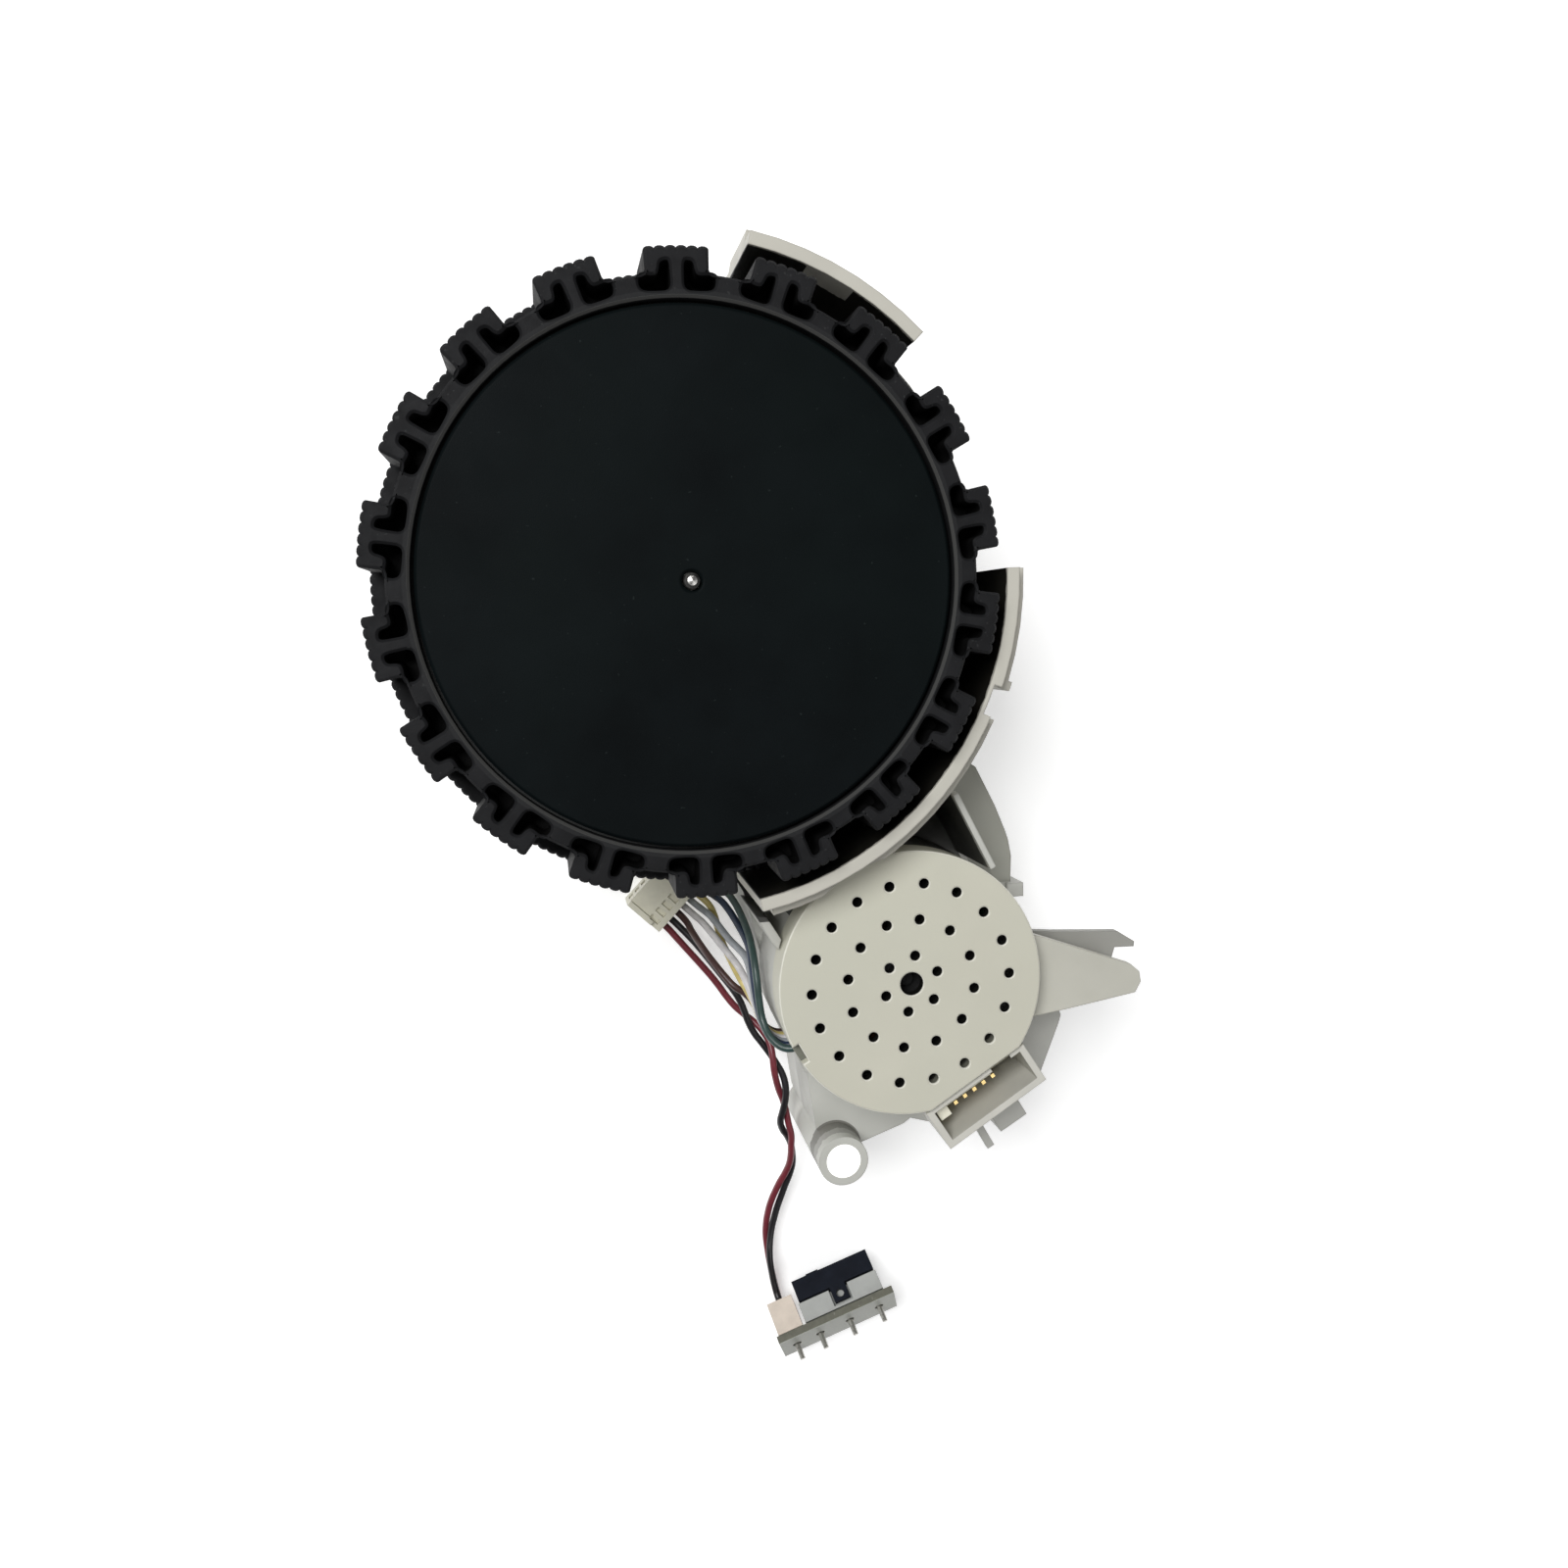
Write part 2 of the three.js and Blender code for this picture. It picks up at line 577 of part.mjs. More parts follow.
function buildSocketHeader() {
  let header = socketBox(16.7, 20.5, -6.5, 6.5, 21.2, 24);
  header = header.add(socketBox(16.7, 17.5, -6.5, 2.2, 23.9, 31.2));
  header = header.add(socketBox(16.7, 18.6, -6.5, -4.9, 23.9, 31.6));
  return header;
}

add('socket_header', buildSocketHeader(), 'ivory');
for (let i = 0; i < 5; i += 1) {
  const a = -3.6 + i * 1.5;
  add(`socket_pin_${i + 1}`, socketBox(18, 18.5, a - 0.25, a + 0.25, 24.2, 30.4), 'brass');
}

// ---------------------------------------------------------------- spring lever
const LEVER_FRONT = [
  [43.6, -46.6], [54.6, -50.8], [57, -51.7], [58.2, -52.8], [58.4, -54.2], [57.6, -55.6], [48, -57],
  [43.2, -57.6],
];
const LEVER_REAR = [
  [43.6, -47.4], [48.7, -48], [57.9, -48.7], [60.3, -50.3], [60.2, -51], [57.4, -50.9], [56.8, -52.8],
  [57.4, -55.4], [48.5, -57], [43.6, -57.4],
];
const LEVER_WEB = [[43.6, -56], [48.3, -55.6], [56.2, -54.3], [56.4, -55.7], [48.3, -57], [43.6, -57.5]];

function buildLever() {
  let lever = prism([...LEVER_FRONT].reverse(), 29.6, 31);
  lever = lever.add(prism([...LEVER_REAR].reverse(), 23.6, 25));
  lever = lever.add(prism([...LEVER_WEB].reverse(), 24.9, 29.7));
  const wall = [[43.6, -47], [45, -47.6], [45, -57.3], [43.6, -57.5]];
  lever = lever.add(prism([...wall].reverse(), SHELL_TOP_Z, 29.7));
  const brace = [[44.9, -53], [50.5, -55], [50.5, -56.6], [44.9, -57.3]];
  return lever.add(prism([...brace].reverse(), SHELL_TOP_Z, 23.7));
}

add('spring_lever', buildLever(), 'greyPlastic');

// ---------------------------------------------------------------- cords
function smooth(points, steps) {
  const curve = new THREE.CatmullRomCurve3(points.map((p) => new THREE.Vector3(...p)), false, 'centripetal');
  return curve.getSpacedPoints(steps);
}

class Polyline3 extends THREE.Curve {
  constructor(points) {
    super();
    this.points = points;
  }

  getPoint(t, target = new THREE.Vector3()) {
    const last = this.points.length - 1;
    const s = Math.min(t * last, last - 1e-9);
    const i = Math.floor(s);
    return target.copy(this.points[i]).lerp(this.points[i + 1], s - i);
  }

  getPointAt(t, target) {
    return this.getPoint(t, target);
  }
}

function wireSolid(points, radius) {
  const shape = new THREE.Shape(ringPoints(0, 0, radius, 8).map((p) => new THREE.Vector2(p[0], p[1])));
  const path = new Polyline3(points);
  const g = new THREE.ExtrudeGeometry(shape, { steps: points.length - 1, extrudePath: path });
  return toManifold(g);
}

// Leads that run from the plug to the slot in the motor cup, lowest in the stack first.
const LEADS = {
  brown: [[-0.36, -45.66, 4], [1.5, -48.1, 8.6], [3.4, -50.9, 13.7], [6.1, -54.2, 16.4]],
  yellow: [[2.4, -42.9, 4], [4.6, -45.3, 5.2], [5.3, -49, 10], [6.6, -52.5, 16.2]],
  white: [[0.56, -44.74, 4], [2.9, -46.7, 7.5], [4.7, -48.8, 12.4], [6.9, -51.8, 17.2]],
  grey: [[1.48, -43.82, 4], [4, -45.7, 8.4], [5.8, -47.9, 14], [7.6, -50, 18.9], [7.9, -53.2, 20.9]],
  blue: [[3.32, -41.98, 4], [5.8, -43.8, 9], [7.1, -45.9, 15], [7.8, -48.2, 20], [7.9, -52.3, 22.4]],
  green: [[4.24, -41.06, 4], [6.8, -42.8, 10], [7.75, -45.4, 17.2], [7.9, -48, 22.3], [8, -51.4, 24.2]],
};
const LEAD_LEVELS = [16.5, 18.1, 19.7, 21.4, 23, 24.6];

function leadRoute(name, level) {
  const z = LEAD_LEVELS[level];
  const zin = 20.72 + level * 1.47;
  const rise = zin - z;
  const [start, ...rest] = LEADS[name];
  return [
    [start[0] - 0.85, start[1] + 0.85, start[2]],
    [start[0] + 0.2, start[1] - 0.2, start[2]],
    [start[0] + 1.1, start[1] - 1.1, start[2] + 0.6],
    ...rest,
    [...radial(18.7, 196), z + rise * 0.05],
    [...radial(18.8, 202.5), z + rise * 0.42],
    [...radial(18.25, 208.4), z + rise * 0.82],
    [...radial(16.7, 211.7), zin - rise * 0.02],
    [...radial(14.95, LEAD_DIR), zin],
  ];
}

const LEAD_NAMES = Object.keys(LEADS);
LEAD_NAMES.forEach((name, level) => {
  addGeometry(`lead_${name}`, toGeometry(wireSolid(smooth(leadRoute(name, level), 17), WIRE_R)), name);
});

// Pair that runs past the motor cup to the switch, twisted about a common centre line.
const PAIR_ROUTE = [
  [9.4, -62.3, 6.8], [11.5, -65.6, 8], [12.3, -68.2, 8.6], [13.1, -71, 8.6], [13.5, -74.4, 8.2],
  [13.5, -77.4, 7.6], [14.2, -79.8, 6.8], [14.7, -82.4, 5.8], [14.6, -85.6, 4.6], [13.3, -89, 3.6],
  [12, -92.7, 2.8], [11.2, -96.7, 2.3], [11.1, -100.2, 2.8],
];
const RED_START = [[-3.05, -46.65, 4], [-2, -47.7, 4], [0.8, -51.2, 4.2], [4.4, -55.8, 4.8], [7.2, -59.9, 5.6]];
const BLACK_START = [[-2.13, -45.73, 4], [-1.08, -46.78, 4], [1.8, -50, 4.8], [4.9, -54.2, 6.2], [7.6, -58.2, 7.6]];
const TWIST_OFFSET = 0.58;
const TWIST_TURNS = 1.91;
const LOOSE_TURNS = 0.5;

function twisted(start, endPhase, last, steps) {
  const centre = new THREE.CatmullRomCurve3(
    PAIR_ROUTE.map((p) => new THREE.Vector3(...p)), false, 'centripetal');
  const count = 36;
  const points = start.map((p) => new THREE.Vector3(...p));
  for (let i = 0; i <= count; i += 1) {
    const u = i / count;
    const c = centre.getPointAt(u);
    const t = centre.getTangentAt(u);
    const side = new THREE.Vector3(-t.y, t.x, 0).normalize();
    const up = new THREE.Vector3().crossVectors(t, side).normalize();
    const tight = TWIST_TURNS - LOOSE_TURNS;
    const left = u > 0.5 ? LOOSE_TURNS * 2 * (1 - u) : LOOSE_TURNS + tight * 2 * (0.5 - u);
    const a = endPhase - TAU * left;
    c.addScaledVector(side, TWIST_OFFSET * Math.cos(a));
    c.addScaledVector(up, TWIST_OFFSET * Math.sin(a));
    points.push(c);
  }
  points.push(...last.map((p) => new THREE.Vector3(...p)));
  const curve = new THREE.CatmullRomCurve3(points, false, 'centripetal');
  return curve.getSpacedPoints(steps);
}

// ---------------------------------------------------------------- harness plug
const PLUG_DIR = 45;

function plugPoint(along, back) {
  const c = Math.cos(PLUG_DIR * DEG);
  const s = Math.sin(PLUG_DIR * DEG);
  return [-2.2 + along * c - back * s, -47.5 + along * s + back * c];
}

function plugBox(a0, a1, b0, b1, z0, z1) {
  const [x, y] = plugPoint((a0 + a1) / 2, (b0 + b1) / 2);
  return turnedBox(x, y, a1 - a0, b1 - b0, PLUG_DIR, z0, z1);
}

function buildPlug() {
  let plug = plugBox(-1, 10.1, 0.3, 6.4, 1.6, 6.4);
  plug = plug.add(plugBox(-1, -0.2, 2, 6.4, 6.3, 7));
  plug = plug.add(plugBox(9.3, 10.1, 2, 6.4, 6.3, 7));
  plug = plug.subtract(plugBox(-0.85, 9.95, -1, 1.5, 3.2, 4.8));
  for (let i = 0; i < 8; i += 1) {
    const a = i * 1.3;
    plug = plug.subtract(plugBox(a - 0.4, a + 0.4, 4.2, 7, 3.2, 4.8));
    plug = plug.subtract(plugBox(a - 0.35, a + 0.35, 1.2, 2.8, 5.9, 7));
  }
  return plug;
}

add('harness_plug', buildPlug(), 'ivory');

// ---------------------------------------------------------------- switch on its board
const SWITCH_DIR = 18;
const SWITCH_TILT = 46;
const SWITCH_ORIGIN = [12.6, -115.3, 5.1];

// Frame of the switch: along the board, out of its component side, and across the board.
const SWITCH_FRAME = (() => {
  const c = Math.cos(SWITCH_DIR * DEG);
  const s = Math.sin(SWITCH_DIR * DEG);
  const ct = Math.cos(SWITCH_TILT * DEG);
  const st = Math.sin(SWITCH_TILT * DEG);
  const along = new THREE.Vector3(c, s, 0);
  const out = new THREE.Vector3(-s * ct, c * ct, -st);
  const across = new THREE.Vector3(-s * st, c * st, ct);
  return new THREE.Matrix4().makeBasis(along, out, across).setPosition(...SWITCH_ORIGIN);
})();

function switchPoint(along, out, across) {
  const p = new THREE.Vector3(along, out, across).applyMatrix4(SWITCH_FRAME);
  return [p.x, p.y, p.z];
}

function switchBox(a0, a1, n0, n1, z0, z1) {
  return prism([[a0, n0], [a1, n0], [a1, n1], [a0, n1]], z0, z1);
}

// Round rod that points out of the board, from height n0 to n1 above its solder side.
function switchRod(along, n0, n1, z, r) {
  const g = new THREE.CylinderGeometry(r, r, n1 - n0, 8);
  g.translate(along, (n0 + n1) / 2, z);
  return toManifold(g);
}

function addSwitch(name, solid, finish) {
  const g = toGeometry(solid);
  g.applyMatrix4(SWITCH_FRAME);
  addGeometry(name, g, finish);
}

const PIN_SPOTS = [[2.4, 3.7], [6.2, 3.8], [11, 3.8], [15.8, 3.8]];

function buildSwitchBoard() {
  let board = switchBox(0, 18.5, 0, 1.1, 0, 7.5);
  for (const [a, z] of PIN_SPOTS) {
    board = board.subtract(switchRod(a, -1, 3, z, 0.75));
  }
  return board;
}

function buildSwitchBase() {
  let base = switchBox(4.7, 17.3, 1.5, 4.4, 0.9, 6.7);
  base = base.subtract(switchBox(9.6, 12.6, 1.9, 6, 5.7, 8));
  base = base.subtract(switchBox(9.6, 12.6, 1.9, 6, -1, 1.9));
  return base;
}

function buildSwitchCover() {
  let cover = switchBox(4.9, 17.1, 4.7, 7.8, 0.9, 6.7);
  cover = cover.add(switchBox(9.9, 12.3, 2.3, 4.8, 6, 6.7));
  cover = cover.subtract(post(11.1, 3.4, 0.6, 5, 8, 12));
  cover = cover.subtract(switchBox(7, 9.6, 6.4, 8.5, 2.7, 4.9));
  return cover;
}

addSwitch('switch_board', buildSwitchBoard(), 'boardGrey');
addSwitch('switch_base', buildSwitchBase(), 'greyPlastic');
addSwitch('switch_cover', buildSwitchCover(), 'gearBlack');
addSwitch('switch_plunger', switchBox(7.3, 9.3, 7, 8.6, 3, 4.6), 'gearBlack');
PIN_SPOTS.forEach(([a, z], i) => {
  addSwitch(`switch_pin_${i + 1}`, switchRod(a, -2.3, 1.2, z, 0.4), 'steel');
});

function buildSwitchConnector() {
  let body = switchBox(0.3, 4.2, 1.4, 6.2, 1, 6.6);
  body = body.subtract(switchBox(0.9, 3.6, 5, 7, 1.9, 3.5));
  body = body.subtract(switchBox(0.9, 3.6, 5, 7, 4, 5.6));
  return body;
}

addSwitch('switch_connector', buildSwitchConnector(), 'ivory');

const RED_END = [switchPoint(2.25, 7.9, 2.7), switchPoint(2.25, 5.4, 2.7)];
const BLACK_END = [switchPoint(2.25, 7.9, 4.8), switchPoint(2.25, 5.4, 4.8)];
const RED = twisted(RED_START, -Math.PI / 2, RED_END, 38);
const BLACK = twisted(BLACK_START, Math.PI / 2, BLACK_END, 38);
addGeometry('switch_wire_red', toGeometry(wireSolid(RED, WIRE_R)), 'red');
addGeometry('switch_wire_black', toGeometry(wireSolid(BLACK, WIRE_R)), 'black');

export default group;
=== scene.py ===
import math

import bmesh
import bpy
from mathutils import Matrix, Vector
from mathutils.geometry import delaunay_2d_cdt


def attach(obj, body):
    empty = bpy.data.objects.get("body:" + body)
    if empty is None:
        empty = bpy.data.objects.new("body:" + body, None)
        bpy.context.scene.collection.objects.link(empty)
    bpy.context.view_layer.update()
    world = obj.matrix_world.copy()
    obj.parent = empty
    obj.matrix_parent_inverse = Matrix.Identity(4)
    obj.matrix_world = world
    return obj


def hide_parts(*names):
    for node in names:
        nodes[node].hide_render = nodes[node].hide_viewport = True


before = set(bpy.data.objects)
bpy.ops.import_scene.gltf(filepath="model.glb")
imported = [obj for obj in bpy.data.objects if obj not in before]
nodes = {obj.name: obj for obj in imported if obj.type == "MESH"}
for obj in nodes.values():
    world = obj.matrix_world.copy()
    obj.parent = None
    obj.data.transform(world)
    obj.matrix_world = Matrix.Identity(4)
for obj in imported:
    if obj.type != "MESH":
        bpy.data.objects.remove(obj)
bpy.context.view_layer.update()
MM = 0.001

# Places of the CAD part that the looks refer to, in millimetres and degrees. The wheel's axis is x = y = 0.
WHEEL_AXIS = (0, 0)
MX, MY = 26.3, -50.9
MOTOR_AXIS = (MX, MY)
BOSS_AXIS = (18.75, -77.4)
FLAT_DIR = -58.7
NOTCH_DIR = 208.0
SIDE_WALL = (35.3, -32.15)
SWITCH_ORIGIN = (12.6, -115.3, 5.1)
SWITCH_DIR = math.radians(18)
SWITCH_TILT = math.radians(46)
SWITCH_ALONG = (math.cos(SWITCH_DIR), math.sin(SWITCH_DIR), 0)
SWITCH_OUT = (-math.sin(SWITCH_DIR) * math.cos(SWITCH_TILT), math.cos(SWITCH_DIR) * math.cos(SWITCH_TILT),
              -math.sin(SWITCH_TILT))
SWITCH_ACROSS = (-math.sin(SWITCH_DIR) * math.sin(SWITCH_TILT), math.cos(SWITCH_DIR) * math.sin(SWITCH_TILT),
                 math.cos(SWITCH_TILT))


def switch_point(along, out, across_board):
    """Place given along the switch's board, from its solder side towards the switch, and across it."""
    return tuple(start + along * a + out * o + across_board * c
                 for start, a, o, c in zip(SWITCH_ORIGIN, SWITCH_ALONG, SWITCH_OUT, SWITCH_ACROSS))


# ------------------------------------------------------------ camera
CAMERA_PLACE = (-16.46, -5.16, 191.39)
CAMERA_ACROSS = (0.9834, -0.0412, 0.1765)
CAMERA_BACK = (-0.1705, 0.1203, 0.978)
camera_data = bpy.data.cameras.new("camera")
camera_data.sensor_width = 36
camera_data.lens = 30.375
camera_data.clip_start = 0.01
camera_data.clip_end = 10
camera = bpy.data.objects.new("camera", camera_data)
bpy.context.scene.collection.objects.link(camera)
across = Vector(CAMERA_ACROSS).normalized()
back = Vector(CAMERA_BACK).normalized()
up = back.cross(across).normalized()
across = up.cross(back).normalized()
turn = Matrix((across, up, back)).transposed().to_4x4()
camera.matrix_world = Matrix.Translation(Vector(CAMERA_PLACE) * MM) @ turn
bpy.context.scene.camera = camera
bpy.context.scene.view_settings.view_transform = "Standard"


# ------------------------------------------------------------ materials
def shader(name, color, rough, metallic=0.0, specular=0.5, vary=0.06, patch=350, grain=7000,
           bump=0.12, edge=0.25, second=None, spots=None, coat=0.0):
    """Procedural finish: large soft patches of tone, uneven gloss, fine surface grain, rounded edges."""
    mat = bpy.data.materials.new(name)
    mat.use_nodes = True
    tree = mat.node_tree
    n, link = tree.nodes, tree.links.new
    bsdf = n["Principled BSDF"]
    bsdf.inputs["Metallic"].default_value = metallic
    bsdf.inputs["Specular IOR Level"].default_value = specular
    bsdf.inputs["Coat Weight"].default_value = coat
    place = n.new("ShaderNodeTexCoord").outputs["Object"]

    def noise(scale, detail, roughness=0.55):
        node = n.new("ShaderNodeTexNoise")
        node.inputs["Scale"].default_value = scale
        node.inputs["Detail"].default_value = detail
        node.inputs["Roughness"].default_value = roughness
        link(place, node.inputs["Vector"])
        return node.outputs["Fac"]

    def ramp(source, stops):
        node = n.new("ShaderNodeValToRGB")
        elements = node.color_ramp.elements
        while len(elements) > len(stops):
            elements.remove(elements[-1])
        while len(elements) < len(stops):
            elements.new(0.5)
        for element, (position, value) in zip(elements, stops):
            element.position = position
            element.color = value
        link(source, node.inputs["Fac"])
        return node.outputs["Color"]

    low = [c * (1 - vary) for c in color] + [1]
    high = [min(1, c * (1 + vary)) for c in color] + [1]
    tone = ramp(noise(patch, 5), [(0.32, low), (0.68, high)])
    if second:
        mix = n.new("ShaderNodeMix")
        mix.data_type = "RGBA"
        link(ramp(noise(patch * 0.31, 3), [(0.45, (0, 0, 0, 1)), (0.72, (1, 1, 1, 1))]), mix.inputs["Factor"])
        link(tone, mix.inputs["A"])
        mix.inputs["B"].default_value = list(second) + [1]
        tone = mix.outputs["Result"]
    if spots:
        mix = n.new("ShaderNodeMix")
        mix.data_type = "RGBA"
        at, size, spot_color = spots
        link(ramp(noise(size, 2, 0.4), [(at, (0, 0, 0, 1)), (at + 0.03, (1, 1, 1, 1))]), mix.inputs["Factor"])
        link(tone, mix.inputs["A"])
        mix.inputs["B"].default_value = list(spot_color) + [1]
        tone = mix.outputs["Result"]
    link(tone, bsdf.inputs["Base Color"])
    low = max(0.05, rough - 0.07)
    high = min(1, rough + 0.09)
    link(ramp(noise(patch * 2.3, 4), [(0.3, (low,) * 3 + (1,)), (0.7, (high,) * 3 + (1,))]),
         bsdf.inputs["Roughness"])
    relief = n.new("ShaderNodeBump")
    relief.inputs["Strength"].default_value = bump
    relief.inputs["Distance"].default_value = 0.00006
    link(noise(grain, 3), relief.inputs["Height"])
    if edge:
        rounded = n.new("ShaderNodeBevel")
        rounded.samples = 4
        rounded.inputs["Radius"].default_value = edge * MM
        link(rounded.outputs["Normal"], relief.inputs["Normal"])
    link(relief.outputs["Normal"], bsdf.inputs["Normal"])
    return mat


def overlay(mat, color, *tests, strength=1.0, glow=0.0, fade=0.0):
    """Tints part of a finish. Each test is (kind, values, low, high) on the millimetre position:
    'z' the height, 'r' the distance from a vertical axis at values, 'd' the distance along a direction
    from a point, 'p' the same in space, 'a' the angle about the Z axis in degrees. The tint is full between
    low and high. A fade in millimetres makes its upper and lower edges uneven."""
    tree = mat.node_tree
    n, link = tree.nodes, tree.links.new
    bsdf = n["Principled BSDF"]
    place = n.new("ShaderNodeTexCoord").outputs["Object"]
    split = n.new("ShaderNodeSeparateXYZ")
    link(place, split.inputs["Vector"])

    def math_node(kind, *values):
        node = n.new("ShaderNodeMath")
        node.operation = kind
        for socket, value in zip(node.inputs, values):
            if isinstance(value, (int, float)):
                socket.default_value = value
            else:
                link(value, socket)
        return node.outputs[0]

    wobble = None
    if fade:
        grain = n.new("ShaderNodeTexNoise")
        grain.inputs["Scale"].default_value = 900
        grain.inputs["Detail"].default_value = 4
        link(place, grain.inputs["Vector"])
        wobble = math_node("MULTIPLY", math_node("SUBTRACT", grain.outputs["Fac"], 0.5), 2 * fade * MM)
    total = None
    for kind, values, low_end, high_end in tests:
        if kind == "z":
            source = split.outputs["Z"]
            if wobble is not None:
                source = math_node("ADD", source, wobble)
        elif kind == "p":
            dot = n.new("ShaderNodeVectorMath")
            dot.operation = "DOT_PRODUCT"
            link(place, dot.inputs[0])
            dot.inputs[1].default_value = values[1]
            start = Vector(values[0]).dot(Vector(values[1])) * MM
            source = math_node("SUBTRACT", dot.outputs["Value"], start)
        elif kind == "a":
            source = math_node("ARCTAN2", split.outputs["Y"], split.outputs["X"])
            low_end, high_end = math.radians(low_end) / MM, math.radians(high_end) / MM
        else:
            dx = math_node("SUBTRACT", split.outputs["X"], values[0] * MM)
            dy = math_node("SUBTRACT", split.outputs["Y"], values[1] * MM)
            if kind == "r":
                square = math_node("ADD", math_node("MULTIPLY", dx, dx), math_node("MULTIPLY", dy, dy))
                source = math_node("SQRT", square)
            else:
                c, sn = math.cos(math.radians(values[2])), math.sin(math.radians(values[2]))
                source = math_node("ADD", math_node("MULTIPLY", dx, c), math_node("MULTIPLY", dy, sn))
        above = math_node("GREATER_THAN", source, low_end * MM)
        below = math_node("LESS_THAN", source, high_end * MM)
        both = math_node("MULTIPLY", above, below)
        total = both if total is None else math_node("MULTIPLY", total, both)
    total = math_node("MULTIPLY", total, strength)
    mix = n.new("ShaderNodeMix")
    mix.data_type = "RGBA"
    before = bsdf.inputs["Base Color"].links[0].from_socket
    link(total, mix.inputs["Factor"])
    link(before, mix.inputs["A"])
    mix.inputs["B"].default_value = list(color) + [1]
    link(mix.outputs["Result"], bsdf.inputs["Base Color"])
    if glow:
        bsdf.inputs["Emission Color"].default_value = list(color) + [1]
        link(math_node("MULTIPLY", total, glow), bsdf.inputs["Emission Strength"])


# Tyre: a lighter bead beside the cap with a painted highlight along its lip, and painted shade on the floors
# of the pockets.
rubber = shader("tyre_rubber", (0.0105, 0.0107, 0.0118), 0.62, vary=0.22, patch=300, grain=5200, bump=0.35,
                edge=0.12, specular=0.14, spots=(0.70, 1900, (0.024, 0.025, 0.026)))
overlay(rubber, (0.018, 0.0185, 0.0195), ("r", WHEEL_AXIS, 30.3, 31.3), ("z", None, 42.0, 44.0), strength=0.8)
overlay(rubber, (0.060, 0.060, 0.058), ("r", WHEEL_AXIS, 30.3, 30.82), ("z", None, 42.6, 44.0), strength=0.8)
overlay(rubber, (0.003, 0.003, 0.003), ("r", WHEEL_AXIS, 31.1, 34.75), ("z", None, 36.0, 42.45),
        strength=0.95)
cap_black = shader("cap_plastic", (0.0034, 0.0050, 0.0056), 0.5, vary=0.28, patch=70, grain=9000, bump=0.22,
                   edge=0.3, specular=0.045, second=(0.0046, 0.0078, 0.0078),
                   spots=(0.745, 1900, (0.012, 0.016, 0.016)))
hub_black = shader("hub_plastic", (0.012, 0.014, 0.014), 0.55, vary=0.15)
shell_grey = shader("housing_plastic", (0.515, 0.515, 0.478), 0.44, vary=0.035, patch=120, grain=6500,
                    bump=0.14, edge=0.3, specular=0.45, second=(0.485, 0.488, 0.45))
arch_grey = shader("arch_plastic", (0.53, 0.515, 0.455), 0.42, vary=0.035, patch=140, grain=6500, bump=0.12,
                   edge=0.3, specular=0.45)
cover_grey = shader("cover_plastic", (0.575, 0.562, 0.470), 0.5, vary=0.03, patch=90, grain=4200, bump=0.26,
                    edge=0.22, specular=0.4, second=(0.555, 0.552, 0.462))
lever_grey = shader("lever_plastic", (0.505, 0.497, 0.435), 0.46, vary=0.035, patch=130, grain=5200, bump=0.2,
                    edge=0.25, specular=0.42)
# Near-black painted shade, used on the arch's inner face.
ARCH_PAINTED_SHADE = (0.010, 0.009, 0.007)

# Arch: painted shade on the inner face, lower between 57 and 67 degrees.
for top, first, last, fade in ((39.5, -90.0, 57.5, 0.5), (39.5, 66.5, 90.0, 0.5), (35.0, 57.0, 67.0, 0.9)):
    overlay(arch_grey, ARCH_PAINTED_SHADE, ("r", WHEEL_AXIS, 20.0, 38.1), ("z", None, 0.0, top), ("a", None, first, last),
            fade=fade)

# Motor cover: painted shade in the holes, less dark near the flat, then a painted highlight on the hole edges
# and painted shade on the floor of the notch.
COVER_HOLES = ("r", MOTOR_AXIS, 0.0, 15.2)
overlay(cover_grey, (0.006, 0.006, 0.005), COVER_HOLES, ("z", None, 20.0, 33.72),
        ("d", (MX, MY, FLAT_DIR), -20.0, 11.0))
overlay(cover_grey, (0.16, 0.16, 0.13), COVER_HOLES, ("z", None, 20.0, 33.6),
        ("d", (MX, MY, FLAT_DIR), 11.0, 14.6))
overlay(cover_grey, (0.80, 0.79, 0.71), ("z", None, 33.72, 33.97), strength=0.75)
overlay(cover_grey, (0.13, 0.135, 0.11), ("r", MOTOR_AXIS, 15.9, 16.97), ("z", None, 32.2, 32.4),
        strength=0.9)

# Housing: painted light in the bore of the boss, which glows, and painted shade inside and outside the side
# wall.
overlay(shell_grey, (0.93, 0.93, 0.91), ("r", BOSS_AXIS, 0.0, 2.34), glow=0.6)
overlay(shell_grey, (0.010, 0.010, 0.008), ("d", (*SIDE_WALL, -154), 0.2, 30.0),
        ("r", MOTOR_AXIS, 16.9, 30.0), ("z", None, 17.5, 32.0), ("d", (0, -42, 90), 0.0, 40.0),
        strength=0.93, fade=0.4)
overlay(shell_grey, (0.20, 0.20, 0.165), ("d", (*SIDE_WALL, 26), 0.5, 2.6), ("r", MOTOR_AXIS, 17.2, 34.0),
        ("z", None, 17.5, 19.0), ("d", (0, -45, 90), 0.0, 40.0), strength=0.75, fade=0.3)
overlay(shell_grey, (0.26, 0.26, 0.215), ("d", (*SIDE_WALL, 26), 2.6, 9.0), ("r", MOTOR_AXIS, 17.2, 34.0),
        ("z", None, 9.0, 19.0), ("d", (0, -42.0, 90), 0.0, 40.0), strength=0.7, fade=0.3)
